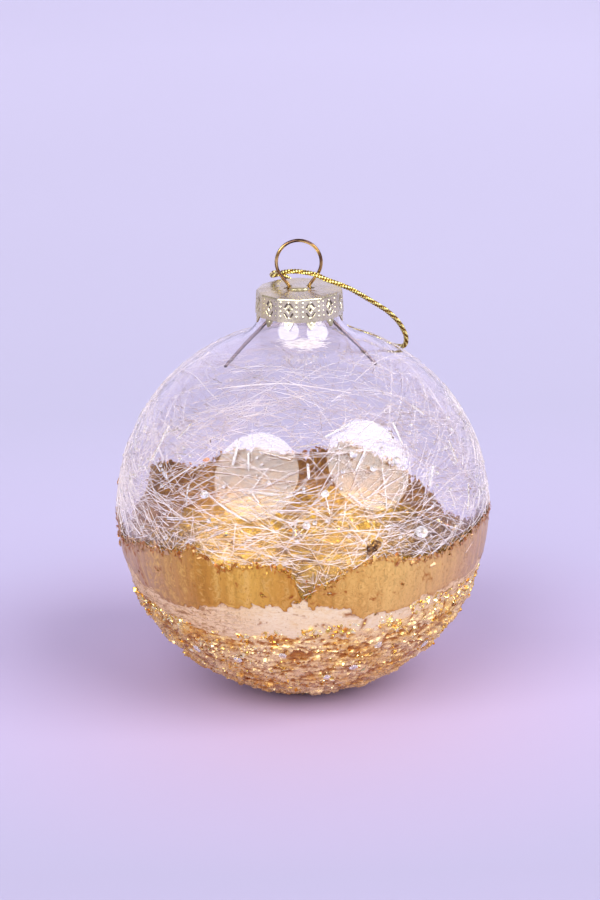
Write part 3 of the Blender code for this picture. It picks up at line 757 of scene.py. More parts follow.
def arc(centre, radius, start, end, steps):
    turns = np.linspace(start, end, steps + 1)
    return [(centre[0] + radius * math.cos(t), centre[1] + radius * math.sin(t)) for t in turns]


def glass_profile(inset):
    """Half outline of one skin of the ball, from the neck's rim down to the pole."""
    centre_r = NECK_R + NECK_FILLET
    centre = (centre_r, math.sqrt((BALL_R + NECK_FILLET) ** 2 - centre_r ** 2))
    meet = math.atan2(centre[1], centre[0])
    outline = [(NECK_R - inset, NECK_TOP_Z)]
    outline += arc(centre, NECK_FILLET + inset, math.pi, math.pi + meet, 16)
    outline += arc((0.0, 0.0), BALL_R - inset, meet, -math.pi / 2, 84)[1:-1]
    return outline + [(0.0, -(BALL_R - inset))]


def lathe(outline, columns):
    """Closed turned skin of an outline that starts and ends on the axis, as points and faces."""
    points, rows = [], []
    for r, z in outline:
        if r == 0.0:
            rows.append([len(points)])
            points.append((0.0, 0.0, z))
            continue
        rows.append(list(range(len(points), len(points) + columns)))
        points += [(r * math.cos(t), r * math.sin(t), z) for t in 2 * np.pi * np.arange(columns) / columns]
    faces = []
    for low, high in zip(rows, rows[1:]):
        for i in range(columns):
            j = (i + 1) % columns
            corners = [low[i % len(low)], low[j % len(low)], high[j % len(high)], high[i % len(high)]]
            faces.append(tuple(dict.fromkeys(corners)))
    return points, faces


def make_glass(material):
    points, faces = lathe(glass_profile(0.0)[::-1] + glass_profile(GLASS_WALL), 160)
    shape = Shape()
    shape.add([Vector(point) + CENTRE for point in points], faces, [Vector(point) / MM for point in points])
    piece_of("blown_ball", shape, material, "ball", ["glass_ball"], 70.0)


# ---------------------------------------------------------------- leaf

LEAF_CELL = 0.26
LEAF_THICKNESS = 0.06 * MM
LEAF_HOLES = 2.6



def crust_top(azimuth):
    turn = np.radians(azimuth)
    return CRUST_TOP + 1.6 * np.sin(3 * turn + 0.6) + 0.9 * np.sin(7 * turn + 2.0)


def noise_over(spots, scale, octaves, seed):
    """Fractal noise, about -1 to 1, at an array of places in mm."""
    shift = Vector((17.3 * seed, -9.1 * seed, 4.7 * seed))
    flat = spots.reshape(-1, spots.shape[-1])
    values = [noise.fractal(Vector(spot) * scale + shift, 0.8, 2.1, octaves) for spot in flat]
    return np.array(values).reshape(spots.shape[:-1])


def ball_points(azimuth, latitude, radius):
    """Array of points over the ball, from its centre."""
    turn, rise = np.radians(azimuth), np.radians(latitude)
    return np.stack([radius * np.cos(rise) * np.sin(turn), -radius * np.cos(rise) * np.cos(turn),
                     radius * np.sin(rise)], axis=-1)


def tidy_cells(keep):
    """Drop whiskers, then fill cells that would only meet at a corner."""
    for _ in range(3):
        wide = np.pad(keep, 1)
        friends = (wide[:-2, 1:-1].astype(int) + wide[2:, 1:-1] + wide[1:-1, :-2] + wide[1:-1, 2:])
        keep = keep & (friends >= 2)
    changed = True
    while changed:
        a, b, c, d = keep[:-1, :-1], keep[1:, 1:], keep[1:, :-1], keep[:-1, 1:]
        crossed = (a & b & ~c & ~d) | (c & d & ~a & ~b)
        changed = bool(crossed.any())
        for i, j in np.argwhere(crossed):
            keep[i:i + 2, j:j + 2] = True
    return keep


def largest_parts(keep, least):
    """Drop loose islands of fewer than least cells."""
    seen = np.zeros(keep.shape, bool)
    for start in np.argwhere(keep):
        if seen[tuple(start)]:
            continue
        island, stack = [], [tuple(start)]
        seen[tuple(start)] = True
        while stack:
            i, j = stack.pop()
            island.append((i, j))
            for k, m in ((i + 1, j), (i - 1, j), (i, j + 1), (i, j - 1)):
                inside = 0 <= k < keep.shape[0] and 0 <= m < keep.shape[1]
                if inside and keep[k, m] and not seen[k, m]:
                    seen[k, m] = True
                    stack.append((k, m))
        if len(island) < least:
            for i, j in island:
                keep[i, j] = False
    return keep


def ragged_sheet(azimuths, latitudes, field, tone, radius):
    """Thin closed sheet over the ball where field (mm inside its edge) is above 0, cut along field = 0.

    Its lay holds the azimuth and latitude in mm, and tone, which is below 0 on the skin next to the glass.
    """
    keep = (field[:-1, :-1] + field[1:, :-1] + field[:-1, 1:] + field[1:, 1:]) > 0
    keep = largest_parts(tidy_cells(keep), 12)
    wide = np.pad(keep, 1)
    around = np.stack([wide[:-1, :-1], wide[1:, :-1], wide[:-1, 1:], wide[1:, 1:]])
    used, rim = around.any(0), around.any(0) & ~around.all(0)
    slopes = np.gradient(field)
    steep = slopes[0] ** 2 + slopes[1] ** 2 + 1e-6
    places = []
    whole = np.meshgrid(azimuths, latitudes, indexing="ij")
    for slope, where, place in zip(slopes, (azimuths, latitudes), whole):
        shift = np.where(rim, np.clip(-field * slope / steep, -0.45, 0.45), 0.0)
        places.append((place + shift * (where[1] - where[0]))[used])
    az, lat = places

    count = int(used.sum())
    number = np.full(used.shape, -1)
    number[used] = np.arange(count)
    skins = [ball_points(az, lat, (radius + lift)[used]) for lift in (0.0, LEAF_THICKNESS)]
    faces = []
    for i, j in np.argwhere(keep):
        a, b, c, d = number[i, j], number[i + 1, j], number[i + 1, j + 1], number[i, j + 1]
        faces += [(d + count, c + count, b + count, a + count), (a, b, c, d)]
        sides = ((wide[i + 1, j], a, b), (wide[i + 1, j + 2], c, d), (wide[i, j + 1], d, a),
                 (wide[i + 2, j + 1], b, c))
        faces += [(start, end, end + count, start + count) for filled, start, end in sides if not filled]
    spots = np.stack([az * MM_PER_DEGREE, lat * MM_PER_DEGREE, np.maximum(tone[used], 0.01)], axis=1)
    under = spots * np.array((1.0, 1.0, -1.0))
    shape = Shape()
    shape.add(np.concatenate(skins) + np.array(CENTRE), faces, np.concatenate([under, spots]))
    return shape


def crack_distance(az, lat, route):
    """Distance in mm from a crack, given as (azimuth, latitude) points."""
    best = np.full(az.shape, 99.0)
    for (a0, l0), (a1, l1) in zip(route, route[1:]):
        run = np.array([(a1 - a0), (l1 - l0)], float)
        t = np.clip(((az - a0) * run[0] + (lat - l0) * run[1]) / run.dot(run), 0.0, 1.0)
        best = np.minimum(best, np.hypot(az - a0 - t * run[0], lat - l0 - t * run[1]) * MM_PER_DEGREE)
    return best


def leaf_piece(node, seed, span, top, bottom, base, style, material):
    """One sheet of leaf: ragged round its edges, wrinkled, with a few holes."""
    step = LEAF_CELL / MM_PER_DEGREE
    azimuths = np.arange(span[0] - 1.0, span[1] + 1.0, step)
    highest = max(height for _, height in top) + 2.5
    lowest = min(float(bottom(azimuths).min()) - 2.0, highest - 4.0)
    latitudes = np.arange(lowest, highest, step)
    az, lat = np.meshgrid(azimuths, latitudes, indexing="ij")
    spots = np.stack([az * MM_PER_DEGREE, lat * MM_PER_DEGREE, np.zeros(az.shape)], axis=-1)

    def noise_at(scale, octaves, shift):
        return noise_over(spots * np.array(scale), 1.0, octaves, seed + shift)

    # Distance inside each edge, in mm
    rough = noise_over(spots, 0.55, 5, seed)
    tears = np.abs(noise_over(spots * np.array((1.0, 0.30, 1.0)), 0.80, 3, seed + 3))
    from_top = (edge_height(top, az) - lat) * MM_PER_DEGREE + 0.85 * rough + 0.75 - 2.5 * tears
    lobes = noise_over(spots, 0.30, 3, seed + 5)
    from_bottom = (lat - bottom(az)) * MM_PER_DEGREE + style["lobes"] * lobes + 0.3 * rough
    from_ends = np.minimum(az - span[0], span[1] - az) * MM_PER_DEGREE
    holes = LEAF_HOLES - noise_over(spots, 0.42, 4, seed + 9) * 3.0
    field = np.minimum.reduce([from_top, from_bottom, from_ends, holes])

    # Cracks and crazing, which darken like an edge
    cracks = np.full(az.shape, 9.0)
    for crack in style["cracks"]:
        cracks = np.minimum(cracks, crack_distance(az + 0.5 * rough, lat + 0.5 * tears, crack))
    veins = np.abs(noise_at(style["veins"], 4, 27)) * 7.0
    crazed = noise_over(spots, 0.09, 2, seed + 29)
    veins = veins + 6.0 * np.clip(style["crazing"] - crazed, 0.0, 1.0) + 0.12
    lines = np.maximum(np.minimum(cracks, veins), 0.04)
    tone = np.minimum.reduce([from_top, from_bottom + 0.4, holes, lines])

    # Height over the base, in mm
    streaks = noise_at(style["streak"], 3, 13)
    ridges = np.clip(1.0 - 5.0 * np.abs(noise_at(style["ridge"], 2, 17)), 0.0, 1.0)
    curl = 0.25 * np.clip(1.0 - tone / 0.5, 0.0, 1.0)
    curl = curl * np.clip(noise_over(spots, 0.4, 2, seed + 21), 0.0, 1.0)
    lift = style["streak_height"] * streaks + style["ridge_height"] * ridges + curl
    lift = lift + 0.09 * np.exp(-((cracks - 0.55) / 0.3) ** 2) - 0.03 * np.exp(-(cracks / 0.25) ** 2)
    shape = ragged_sheet(azimuths, latitudes, field, tone, (base + lift) * MM)
    piece_of(f"{node}_sheet", shape, material, "ball", [node], 50.0)


UPPER_STYLE = {
    "lobes": 1.5, "cracks": (), "veins": (0.22, 0.10, 1.0), "crazing": 0.64,
    "streak": (0.8, 0.10, 1.0), "streak_height": 0.02, "ridge": (0.9, 0.10, 1.0), "ridge_height": 0.025}
LEFT_STYLE = dict(UPPER_STYLE, cracks=(((-66, -3.5), (-63, -7), (-62, -10), (-60, -15)),
                                       ((-75, -4), (-74, -8)), ((-71, -5), (-72.5, -9))))
LOWER_STYLE = {
    "lobes": 0.9, "cracks": (), "veins": (0.10, 0.26, 1.0), "crazing": 0.10,
    "streak": (0.40, 1.7, 1.0), "streak_height": 0.05, "ridge": (0.20, 1.05, 1.0), "ridge_height": 0.11}
FRONT_STYLE = dict(LOWER_STYLE, ridge_height=0.015, streak_height=0.015, crazing=0.22,
                   cracks=(((8, -28), (10, -24.5), (9, -22.5), (6, -21)), ((9, -24), (12, -25), (14, -28)),
                           ((19, -29), (18.5, -25), (20, -20)), ((13, -17.5), (17, -17.8))))

# CAD node, azimuths it spans and style of each sheet; an upper one has an upper edge of its own
PALE_TOP = tuple((azimuth, latitude + 2.2) for azimuth, latitude in UPPER_BOTTOM)
PALE_SHEETS = (
    ("leaf_lower_left", (-99, -21.16), LOWER_STYLE), ("leaf_lower_front", (-21.14, 58.69), FRONT_STYLE),
    ("leaf_lower_right", (58.71, 138.69), LOWER_STYLE), ("leaf_lower_back", (138.71, 260.98), LOWER_STYLE))
ORANGE_SHEETS = (
    ("leaf_left", (-98, -1), LEFT_STYLE, LEFT_TOP), ("leaf_right", (1, 96), UPPER_STYLE, RIGHT_TOP),
    ("leaf_back", (96.15, 261.8), UPPER_STYLE, BACK_TOP))


def make_leaf(orange, pale):
    def upper_bottom(azimuth):
        return edge_height(UPPER_BOTTOM, azimuth)

    def crust_line(azimuth):
        return crust_top(azimuth) - 1.2

    for seed, (node, span, style) in enumerate(PALE_SHEETS, 1):
        leaf_piece(node, seed, span, PALE_TOP, crust_line, PALE_LEAF_R, style, pale)
    for seed, (node, span, style, top) in enumerate(ORANGE_SHEETS, 1 + len(PALE_SHEETS)):
        leaf_piece(node, seed, span, top, upper_bottom, ORANGE_LEAF_R, style, orange)


# Loose flakes: CAD node, azimuth, latitude, radius, lean and size in mm
FLAKES = (("leaf_flake_01", -89, 9, 40.45, 20, 0.9), ("leaf_flake_02", -86, -10, 40.6, -10, 1.15),
          ("leaf_flake_03", -83, -6, 40.6, 35, 1.1), ("leaf_flake_04", 21, 4, 40.6, 65, 1.9))
BURNT_FLAKE = "leaf_flake_04"


def make_flakes(material, burnt):
    """Crumpled scraps of leaf that stand off the surface."""
    half_x, half_y, rows, columns = 1.1, 0.9, 23, 19
    spots = np.stack(np.meshgrid(np.linspace(-half_x, half_x, rows), np.linspace(-half_y, half_y, columns),
                                 indexing="ij"), axis=-1)
    wide = np.concatenate([spots, np.zeros(spots.shape[:2] + (1,))], axis=-1)
    turns = np.arctan2(spots[..., 1], spots[..., 0])
    share = np.hypot(spots[..., 0] / half_x, spots[..., 1] / half_y)
    square = np.maximum(np.abs(spots[..., 0]) / half_x, np.abs(spots[..., 1]) / half_y)
    count = rows * columns
    faces = grid_faces(rows, columns) + [face[::-1] for face in grid_faces(rows, columns, count)]
    rim = (list(range(columns)) + [i * columns + columns - 1 for i in range(1, rows)]
           + [(rows - 1) * columns + j for j in range(columns - 2, -1, -1)]
           + [i * columns for i in range(rows - 2, 0, -1)])
    faces += [(a + count, b + count, b, a) for a, b in zip(rim, rim[1:] + rim[:1])]
    for seed, (node, azimuth, latitude, radius, lean, size) in enumerate(FLAKES):
        crumple = 0.28 * noise_over(wide, 1.4, 3, 31 + seed)
        reach = 0.75 + 0.2 * np.sin(2 * turns + seed) + 0.12 * np.sin(5 * turns + 2.0 * seed)
        fit = np.where(share > 0, square / np.maximum(share, 1e-6), 1.0) * reach
        body = np.concatenate([spots * fit[..., None], crumple[..., None]], axis=-1)
        body = body.reshape(-1, 3) * size * MM
        skins = np.concatenate([body, body + np.array((0.0, 0.0, 0.05 * MM))])
        # Low places of the crumple get a small depth and so take the dark edge colour: painted shade in the
        # flake's hollows
        tone = np.clip(0.25 + 2.0 * crumple.ravel(), 0.03, 1.2)
        shape = Shape()
        points = laid(skins, azimuth, latitude, radius * MM, lean)
        shape.add(points, faces, [(0.0, 0.0, depth) for depth in tone] * 2)
        tint = burnt if node == BURNT_FLAKE else material
        piece_of(f"{node}_scrap", shape, tint, "ball", [node], 40.0)


# ---------------------------------------------------------------- crust

def crust_height(direction):
    """Height of the bead crust in mm over the leaf: foil folded over pebbles and grains."""
    spot = direction * 40.0
    flat = Vector((spot.x * 0.30, spot.y * 0.30, spot.z * 0.70))
    warp = noise.noise_vector(spot * 0.28) * 1.2
    near, _ = noise.voronoi((spot + warp) / 3.3)
    small, _ = noise.voronoi(spot / 1.25 + Vector((3.1, 7.7, 1.3)))
    size = noise.cell((spot + warp) / 3.3 + Vector((9, 9, 9)))
    pebble = max(0.0, 1.0 - (near[0] / 0.60) ** 2) * max(0.0, 1.5 * size - 0.3)
    grain = max(0.0, 1.0 - (small[0] / 0.6) ** 2)
    fold = 1.0 - 3.0 * abs(noise.fractal(flat * 0.75 + warp * 0.4, 0.7, 2.2, 4))
    crease = 1.0 - 4.0 * abs(noise.noise(flat * 1.9))
    height = 0.10 + 0.72 * pebble + 0.14 * grain + 0.42 * max(0.0, fold) + 0.18 * max(-0.5, crease)
    return min(1.15, max(0.02, height))


def crust_share(azimuth, latitude, top, way):
    """How much of its height the crust has: it rises unevenly out of the leaf below its upper edge."""
    side = math.sin(math.radians(azimuth))
    reach = top + 6.0 * side ** 2 + 2.5 * max(0.0, side)
    return float(smoothstep(-2.5, 5.5, reach - latitude + 3.0 * noise.noise(way * 14.0)))


CRUST_COLUMNS, CRUST_ROWS, CRUST_INNER_ROWS = 860, 150, 12
CRUST_LOWEST, CRUST_OVERLAP = -88.5, 9.0


def make_crust(material):
    azimuths = 360.0 * np.arange(CRUST_COLUMNS) / CRUST_COLUMNS
    points, lay = [], []
    for outside, rows in ((True, CRUST_ROWS), (False, CRUST_INNER_ROWS)):
        for row in range(rows + 1):
            share = row / rows
            for azimuth, top in zip(azimuths, crust_top(azimuths)):
                latitude = CRUST_LOWEST + (top + CRUST_OVERLAP - CRUST_LOWEST) * share
                way = outward(azimuth, latitude)
                height, spot = -1.0, way * CRUST_INNER_R * MM
                if outside:
                    risen = crust_share(azimuth, latitude, top, way)
                    height = crust_height(way)
                    spot = way * (CRUST_OUTER_R + 0.27 * risen + height * risen) * MM
                    spot.z = max(spot.z, -CENTRE.z)
                points.append(spot + CENTRE)
                lay.append((azimuth * MM_PER_DEGREE, latitude * MM_PER_DEGREE, height))
    inner = (CRUST_ROWS + 1) * CRUST_COLUMNS
    faces = grid_faces(CRUST_ROWS + 1, CRUST_COLUMNS, 0, True)
    faces += [face[::-1] for face in grid_faces(CRUST_INNER_ROWS + 1, CRUST_COLUMNS, inner, True)]
    top_row, inner_top = CRUST_ROWS * CRUST_COLUMNS, inner + CRUST_INNER_ROWS * CRUST_COLUMNS
    for j in range(CRUST_COLUMNS):
        k = (j + 1) % CRUST_COLUMNS
        faces.append((top_row + j, top_row + k, inner_top + k, inner_top + j))
    faces += [tuple(range(CRUST_COLUMNS))[::-1], tuple(range(inner, inner + CRUST_COLUMNS))]
    shape = Shape()
    shape.add(points, faces, lay)
    piece_of("bead_crust", shape, material, "ball", ["crust_bed"], 50.0)


def add_gem(shape, centre, turn, size, dice):
    """Small faceted chip: the hull of a few scattered points."""
    bm = bmesh.new()
    for _ in range(9):
        spot = Vector((dice.gauss(0, 1), dice.gauss(0, 1), dice.gauss(0, 1))).normalized()
        bm.verts.new((spot.x * size[0], spot.y * size[1], spot.z * size[2]))
    hull = bmesh.ops.convex_hull(bm, input=bm.verts)
    bmesh.ops.delete(bm, geom=list(set(hull["geom_interior"])), context="VERTS")
    bm.verts.index_update()
    points = rotated([vert.co for vert in bm.verts], centre, turn)
    faces = [[vert.index for vert in face.verts] for face in bm.faces]
    shape.add(points, faces, [(0.0, 0.0, 0.0)] * len(points))
    bm.free()


def tipped(dice, spread):
    """A chance tilt out of level."""
    return Euler((dice.gauss(0, spread), dice.gauss(0, spread), 0.0)).to_matrix()


GOLD_CHIPS = 2600
LARGEST_CHIP = 1.0


def make_gold_chips(material):
    """Bright crumbs of leaf and glass, gathered in clusters over the crust and thinning out above it."""
    dice = random.Random(23)
    shape = Shape()
    made = 0
    while made < GOLD_CHIPS:
        azimuth = dice.uniform(-180, 180)
        side = math.sin(math.radians(azimuth))
        reach = 2.5 + 1.5 * side ** 2 + 7.5 * max(0.0, side)
        latitude = crust_top(azimuth) + reach - 36.0 * dice.random() ** 1.9
        way = outward(azimuth, latitude)
        if noise.noise(way * 9.0) + 0.25 * dice.random() < 0.05:
            continue
        size = min(LARGEST_CHIP, dice.lognormvariate(-0.9, 0.42)) * MM
        spread = (size, size * dice.uniform(0.5, 1.0), size * dice.uniform(0.25, 0.55))
        share = crust_share(azimuth, latitude, crust_top(azimuth), way)
        centre = CENTRE + way * (40.15 + share * (0.1 + crust_height(way))) * MM
        tip = tipped(dice, 0.5)
        if centre.z - size > 0.1 * MM:
            add_gem(shape, centre, ball_frame(azimuth, latitude, dice.uniform(0, 180)) @ tip, spread, dice)
        made += 1
    piece_of("gold_chips", shape, material, "ball", smooth_angle=0.0)


TORN_BITS = 1000
BURNT_FLECKS = ((-52, 24, 0.8), (-22, 6, 0.5), (64, 12, 0.5), (-104, 12, 0.7), (150, 8, 0.8), (212, 6, 0.6))


def make_torn_bits(material, burnt):
    """Shreds of leaf left standing along the torn upper edges, and a few burnt flecks on the glass."""
    dice = random.Random(57)
    shape = Shape()
    for _ in range(TORN_BITS):
        azimuth = dice.uniform(-98, 262)
        latitude = leaf_top(azimuth) + dice.gauss(-0.2, 0.9)
        if abs(azimuth) < 4.0:
            latitude = dice.uniform(-13.0, -5.0)
        size = min(LARGEST_CHIP, dice.lognormvariate(-1.0, 0.5)) * MM
        spread = (size, size * dice.uniform(0.3, 0.8), 0.05 * MM)
        tip = tipped(dice, 0.35)
        centre = on_ball(azimuth, latitude, (40.45 + 0.2 * dice.random()) * MM)
        first = len(shape.points)
        add_gem(shape, centre, ball_frame(azimuth, latitude, dice.uniform(0, 180)) @ tip, spread, dice)
        depth = 0.05 if dice.random() < 0.7 else 2.0
        shape.lay[first:] = [(azimuth, latitude, depth)] * (len(shape.points) - first)
    piece_of("torn_leaf_bits", shape, material, "ball", smooth_angle=0.0)
    shape = Shape()
    for azimuth, latitude, size in BURNT_FLECKS:
        for _ in range(3):
            spot = on_ball(azimuth + dice.gauss(0, 0.7), latitude + dice.gauss(0, 0.7), 40.5 * MM)
            spread = (size * MM, 0.4 * size * MM, 0.08 * MM)
            add_gem(shape, spot, ball_frame(azimuth, latitude, dice.uniform(0, 180)), spread, dice)
    piece_of("burnt_flecks", shape, burnt, "ball", smooth_angle=0.0)


# ---------------------------------------------------------------- glass hair

def strand(azimuth, latitude, heading, length, bow, heights, count):
    """Points of one strand laid over the ball, from one end, turning by bow degrees per mm."""
    out, along = headed(azimuth, latitude, heading)
    step = length / (count - 1)
    points = []
    for index in range(count):
        share = index / (count - 1)
        height = heights[0] + (heights[1] - heights[0]) * share + 0.12 * math.sin(math.pi * share)
        points.append(CENTRE + out * (BALL_R + height * MM))
        roll = Matrix.Rotation(step / (BALL_R / MM), 3, out.cross(along))
        out, along = (roll @ out).normalized(), (roll @ along).normalized()
        along = Matrix.Rotation(math.radians(bow * step), 3, out) @ along
    return points


def clear_of_leaf(points, margin):
    """True if a strand stays above the leaf's upper edge by margin degrees."""
    for point in points:
        way = (point - CENTRE).normalized()
        azimuth = math.degrees(math.atan2(way.x, -way.y))
        if math.degrees(math.asin(way.z)) < leaf_top(azimuth) + margin:
            return False
    return True


HAIR_SIDES = 5
HAIR_HEIGHTS = (0.1, 0.65)
HAIR_HIGHEST = 0.93

# Layers of hair: piece, tint, strands, latitudes, least, most and usual length, radius, then how far the
# strands stray from level and how much they bend
HAIR = (
    ("glass_hair_dense", "fine", 840, (-10.0, 20.0), (5, 30, 12), 0.044, 32.0, 0.5),
    ("glass_hair_middle", "fine", 500, (14.0, 40.0), (6, 30, 13), 0.042, 32.0, 0.5),
    ("glass_hair_dome", "fine", 460, (34.0, 66.0), (4, 26, 10), 0.038, 34.0, 1.0),
    ("glass_splinters", "bright", 240, (-8.0, 22.0), (2.5, 9, 5), 0.08, 42.0, 0.2),
    ("glass_splinters_thick", "clear", 70, (8.0, 36.0), (2.5, 7, 4.5), 0.19, 50.0, 0.0),
)
FROST_STRANDS, FROST_RADIUS = 420, 0.045
FUZZ_STRANDS, FUZZ_RADIUS = 170, 0.055


def add_strand(shape, dice, azimuth, latitude, heading, length, bow, radius):
    """Add a strand if it stays off the leaf and below the neck, and say if it did."""
    sections = max(3, round(length / 2.2))
    heights = (dice.uniform(*HAIR_HEIGHTS), dice.uniform(*HAIR_HEIGHTS))
    points = strand(azimuth, latitude, heading, length, bow, heights, sections)
    if not clear_of_leaf(points, -0.8 if dice.random() < 0.9 else -9.0):
        return False
    if max(point.z for point in points) > CENTRE.z + HAIR_HIGHEST * BALL_R:
        return False
    thick = radius * dice.uniform(0.6, 1.35) * MM
    add_tube(shape, points, thick, HAIR_SIDES, dice.uniform(0, 90))
    return True


def lay_hair(name, dice, count, band, length, radius, material, spread, bow):
    """Many fine strands over a band of the ball, in one piece."""
    shape = Shape()
    made = 0
    while made < count:
        azimuth = dice.uniform(-180, 180)
        latitude = dice.uniform(*band)
        heading = dice.gauss(0, spread) + 30.0 * noise.noise(outward(azimuth, latitude) * 2.6)
        reach = min(length[1], max(length[0], dice.lognormvariate(math.log(length[2]), 0.45)))
        made += add_strand(shape, dice, azimuth, latitude, heading, reach, dice.gauss(0, bow), radius)
    piece_of(name, shape, material, "ball")


def lay_frost(dice, material):
    """Short fibres packed along the leaf's upper edge and down into the gap at the front."""
    shape = Shape()
    made = 0
    while made < FROST_STRANDS:
        azimuth = dice.uniform(-180, 180) if dice.random() < 0.7 else dice.gauss(0, 22)
        latitude = leaf_top(azimuth) + 8.5 * dice.random() ** 1.4
        heading, length, bow = dice.gauss(0, 42), dice.uniform(1.2, 5.0), dice.gauss(0, 2.0)
        made += add_strand(shape, dice, azimuth, latitude, heading, length, bow, FROST_RADIUS)
    piece_of("glass_frost", shape, material, "ball")


def lay_fuzz(dice, material):
    """Short fibres that stand on the front of the shoulder, just below the cap."""
    shape = Shape()
    for _ in range(FUZZ_STRANDS):
        azimuth, latitude = dice.gauss(0, 11), dice.gauss(74.2, 0.8)
        lift = 0.35 * (latitude - 71.5)
        heading, length = dice.gauss(0, 15), dice.uniform(1.0, 2.8)
        points = strand(azimuth, latitude, heading, length, 3.0, (lift, lift + 0.2), 4)
        add_tube(shape, points, FUZZ_RADIUS * MM, HAIR_SIDES)
    piece_of("glass_fuzz_shoulder", shape, material, "ball")


def make_hair(tints):
    dice = random.Random(41)
    for name, tint, count, band, length, radius, spread, bow in HAIR:
        lay_hair(name, dice, count, band, length, radius, tints[tint], spread, bow)
    lay_frost(dice, tints["bright"])
    lay_fuzz(dice, tints["bright"])


DROPLETS = 190


def make_droplets(material):
    """Tiny drops of glass among the hair."""
    bm = bmesh.new()
    bmesh.ops.create_icosphere(bm, subdivisions=2, radius=1.0)
    drop = [vert.co.copy() for vert in bm.verts]
    faces = [[vert.index for vert in face.verts] for face in bm.faces]
    bm.free()
    dice = random.Random(67)
    shape = Shape()
    for _ in range(DROPLETS):
        azimuth, latitude = dice.uniform(-180, 180), dice.uniform(3, 38)
        size = dice.uniform(0.22, 0.5) * MM
        shift = Vector((azimuth, 0, 0))
        spread = [spot * size * (1.0 + 0.08 * noise.noise(spot * 1.5 + shift)) for spot in drop]
        shape.add(laid(spread, azimuth, latitude, BALL_R + 0.8 * size), faces, spread)
    piece_of("glass_droplets", shape, material, "ball")


# Rods as (azimuth, latitude, lean, length) and beads as (azimuth, latitude, radius), with sizes in mm
RODS = (
    (-59, 30, 86, 8.4), (-49, 36, 64, 4.6), (-24, 33, 88, 6.0), (14, 40, 23, 6.8), (38, 36, 91, 5.6),
    (54, 41, 122, 3.6), (46, 21, 55, 4.8), (61, 25, 87, 5.4), (2, 28, 93, 3.4), (-51, 22, 148, 3.2),
    (105, 33, 70, 6.0), (140, 28, 110, 5.0), (185, 36, 60, 6.5), (230, 30, 95, 5.5),
)
ROD_R = 0.25
ROD_END = ((0.0, 0.15), (0.06, 0.6), (0.14, 0.85), (0.25, 0.97), (0.4, 1.0))
BEADS = ((-32, 19, 0.9), (7, 21, 0.8), (18, 32, 0.8), (24, 27, 0.7), (33, 28, 0.9), (1, 12, 0.8),
         (37, 6, 1.3), (150, 16, 1.0))
STAND_OFF = 0.3


def make_rods(material):
    """Round glass rods with fire-polished ends."""
    for number, (azimuth, latitude, lean, length) in enumerate(RODS, 1):
        steps = [(-length / 2 + x, r) for x, r in ROD_END] + [(length / 2 - x, r) for x, r in ROD_END[::-1]]
        points = [(x * MM, 0.0, 0.0) for x, _ in steps]
        radii = np.array([ROD_R * r * (1.0 + 0.04 * math.sin(3.0 * x + number)) for x, r in steps]) * MM
        shape = Shape()
        add_tube(shape, laid(points, azimuth, latitude, BALL_R + (STAND_OFF + ROD_R) * MM, lean), radii, 14)
        piece_of(f"rod_{number:02d}", shape, material, "ball", [f"glass_rod_{number:02d}"])


def make_beads(material):
    """Drops of clear glass: round above, settled on a small foot."""
    outline = [(0.0, -0.86)] + [(0.42 * k / 3, -0.86) for k in range(1, 4)]
    outline += [(math.cos(t), math.sin(t)) for t in np.linspace(-0.95, 1.45, 20)] + [(0.0, 1.0)]
    round_points, faces = lathe(outline, 32)
    round_points = [Vector(point) for point in round_points]
    for number, (azimuth, latitude, size) in enumerate(BEADS, 1):
        shift = Vector((number, 0, 0))
        scales = [size * MM * (1.0 + 0.05 * noise.noise(point * 1.3 + shift)) for point in round_points]
        points = [point * scale for point, scale in zip(round_points, scales)]
        shape = Shape()
        shape.add(laid(points, azimuth, latitude, BALL_R + (STAND_OFF + size) * MM), faces, points)
        piece_of(f"bead_{number:02d}", shape, material, "ball", [f"clear_bead_{number:02d}"])


# ---------------------------------------------------------------- cap and hanger

def capsule(across, down, start, end, radius):
    """1 inside a rounded slot between two points of a panel, 0 outside."""
    run = np.array(end) - np.array(start)
    t = np.clip(((across - start[0]) * run[0] + (down - start[1]) * run[1]) / run.dot(run), 0.0, 1.0)
    away = np.hypot(across - start[0] - t * run[0], down - start[1] - t * run[1])
    return 1.0 - smoothstep(0.75 * radius, 1.35 * radius, away)


def panel_relief(across, down):
    """Pressed pattern of one panel, in mm outwards, by its place across the panel and below the plate."""
    height = np.zeros(np.broadcast(across, down).shape)
    dots = [(side * 1.72, drop, 0.26) for side in (-1, 1) for drop in (0.95, 1.9, 2.9, 3.95)]
    dots += [(0.0, 1.0, 0.24), (0.0, 4.25, 0.26), (0.0, 5.45, 0.22)]
    for x, y, r in dots:
        away = np.hypot(across - x, down - y)
        height += 0.12 * (1.0 - smoothstep(0.35 * r, 1.15 * r, away))
    lozenge = np.abs(across) / 0.62 + np.abs(down - 2.6) / 0.95
    height += 0.10 * smoothstep(0.5, 0.75, lozenge) * (1.0 - smoothstep(0.95, 1.2, lozenge))
    height -= 0.16 * (1.0 - smoothstep(0.30, 0.55, lozenge))
    for side in (-1.0, 1.0):
        for start, end in ((1.95, 1.2), (3.25, 4.0)):
            height -= 0.16 * capsule(across, down, (side * 0.82, start), (side * 0.36, end), 0.15)
    return height


def noise_round(turns, reach, heights):
    """Noise at places round a circle of a given reach."""
    return np.array([noise.noise(Vector((reach * math.cos(turn), reach * math.sin(turn), height)))
                     for turn, height in zip(turns, heights)])


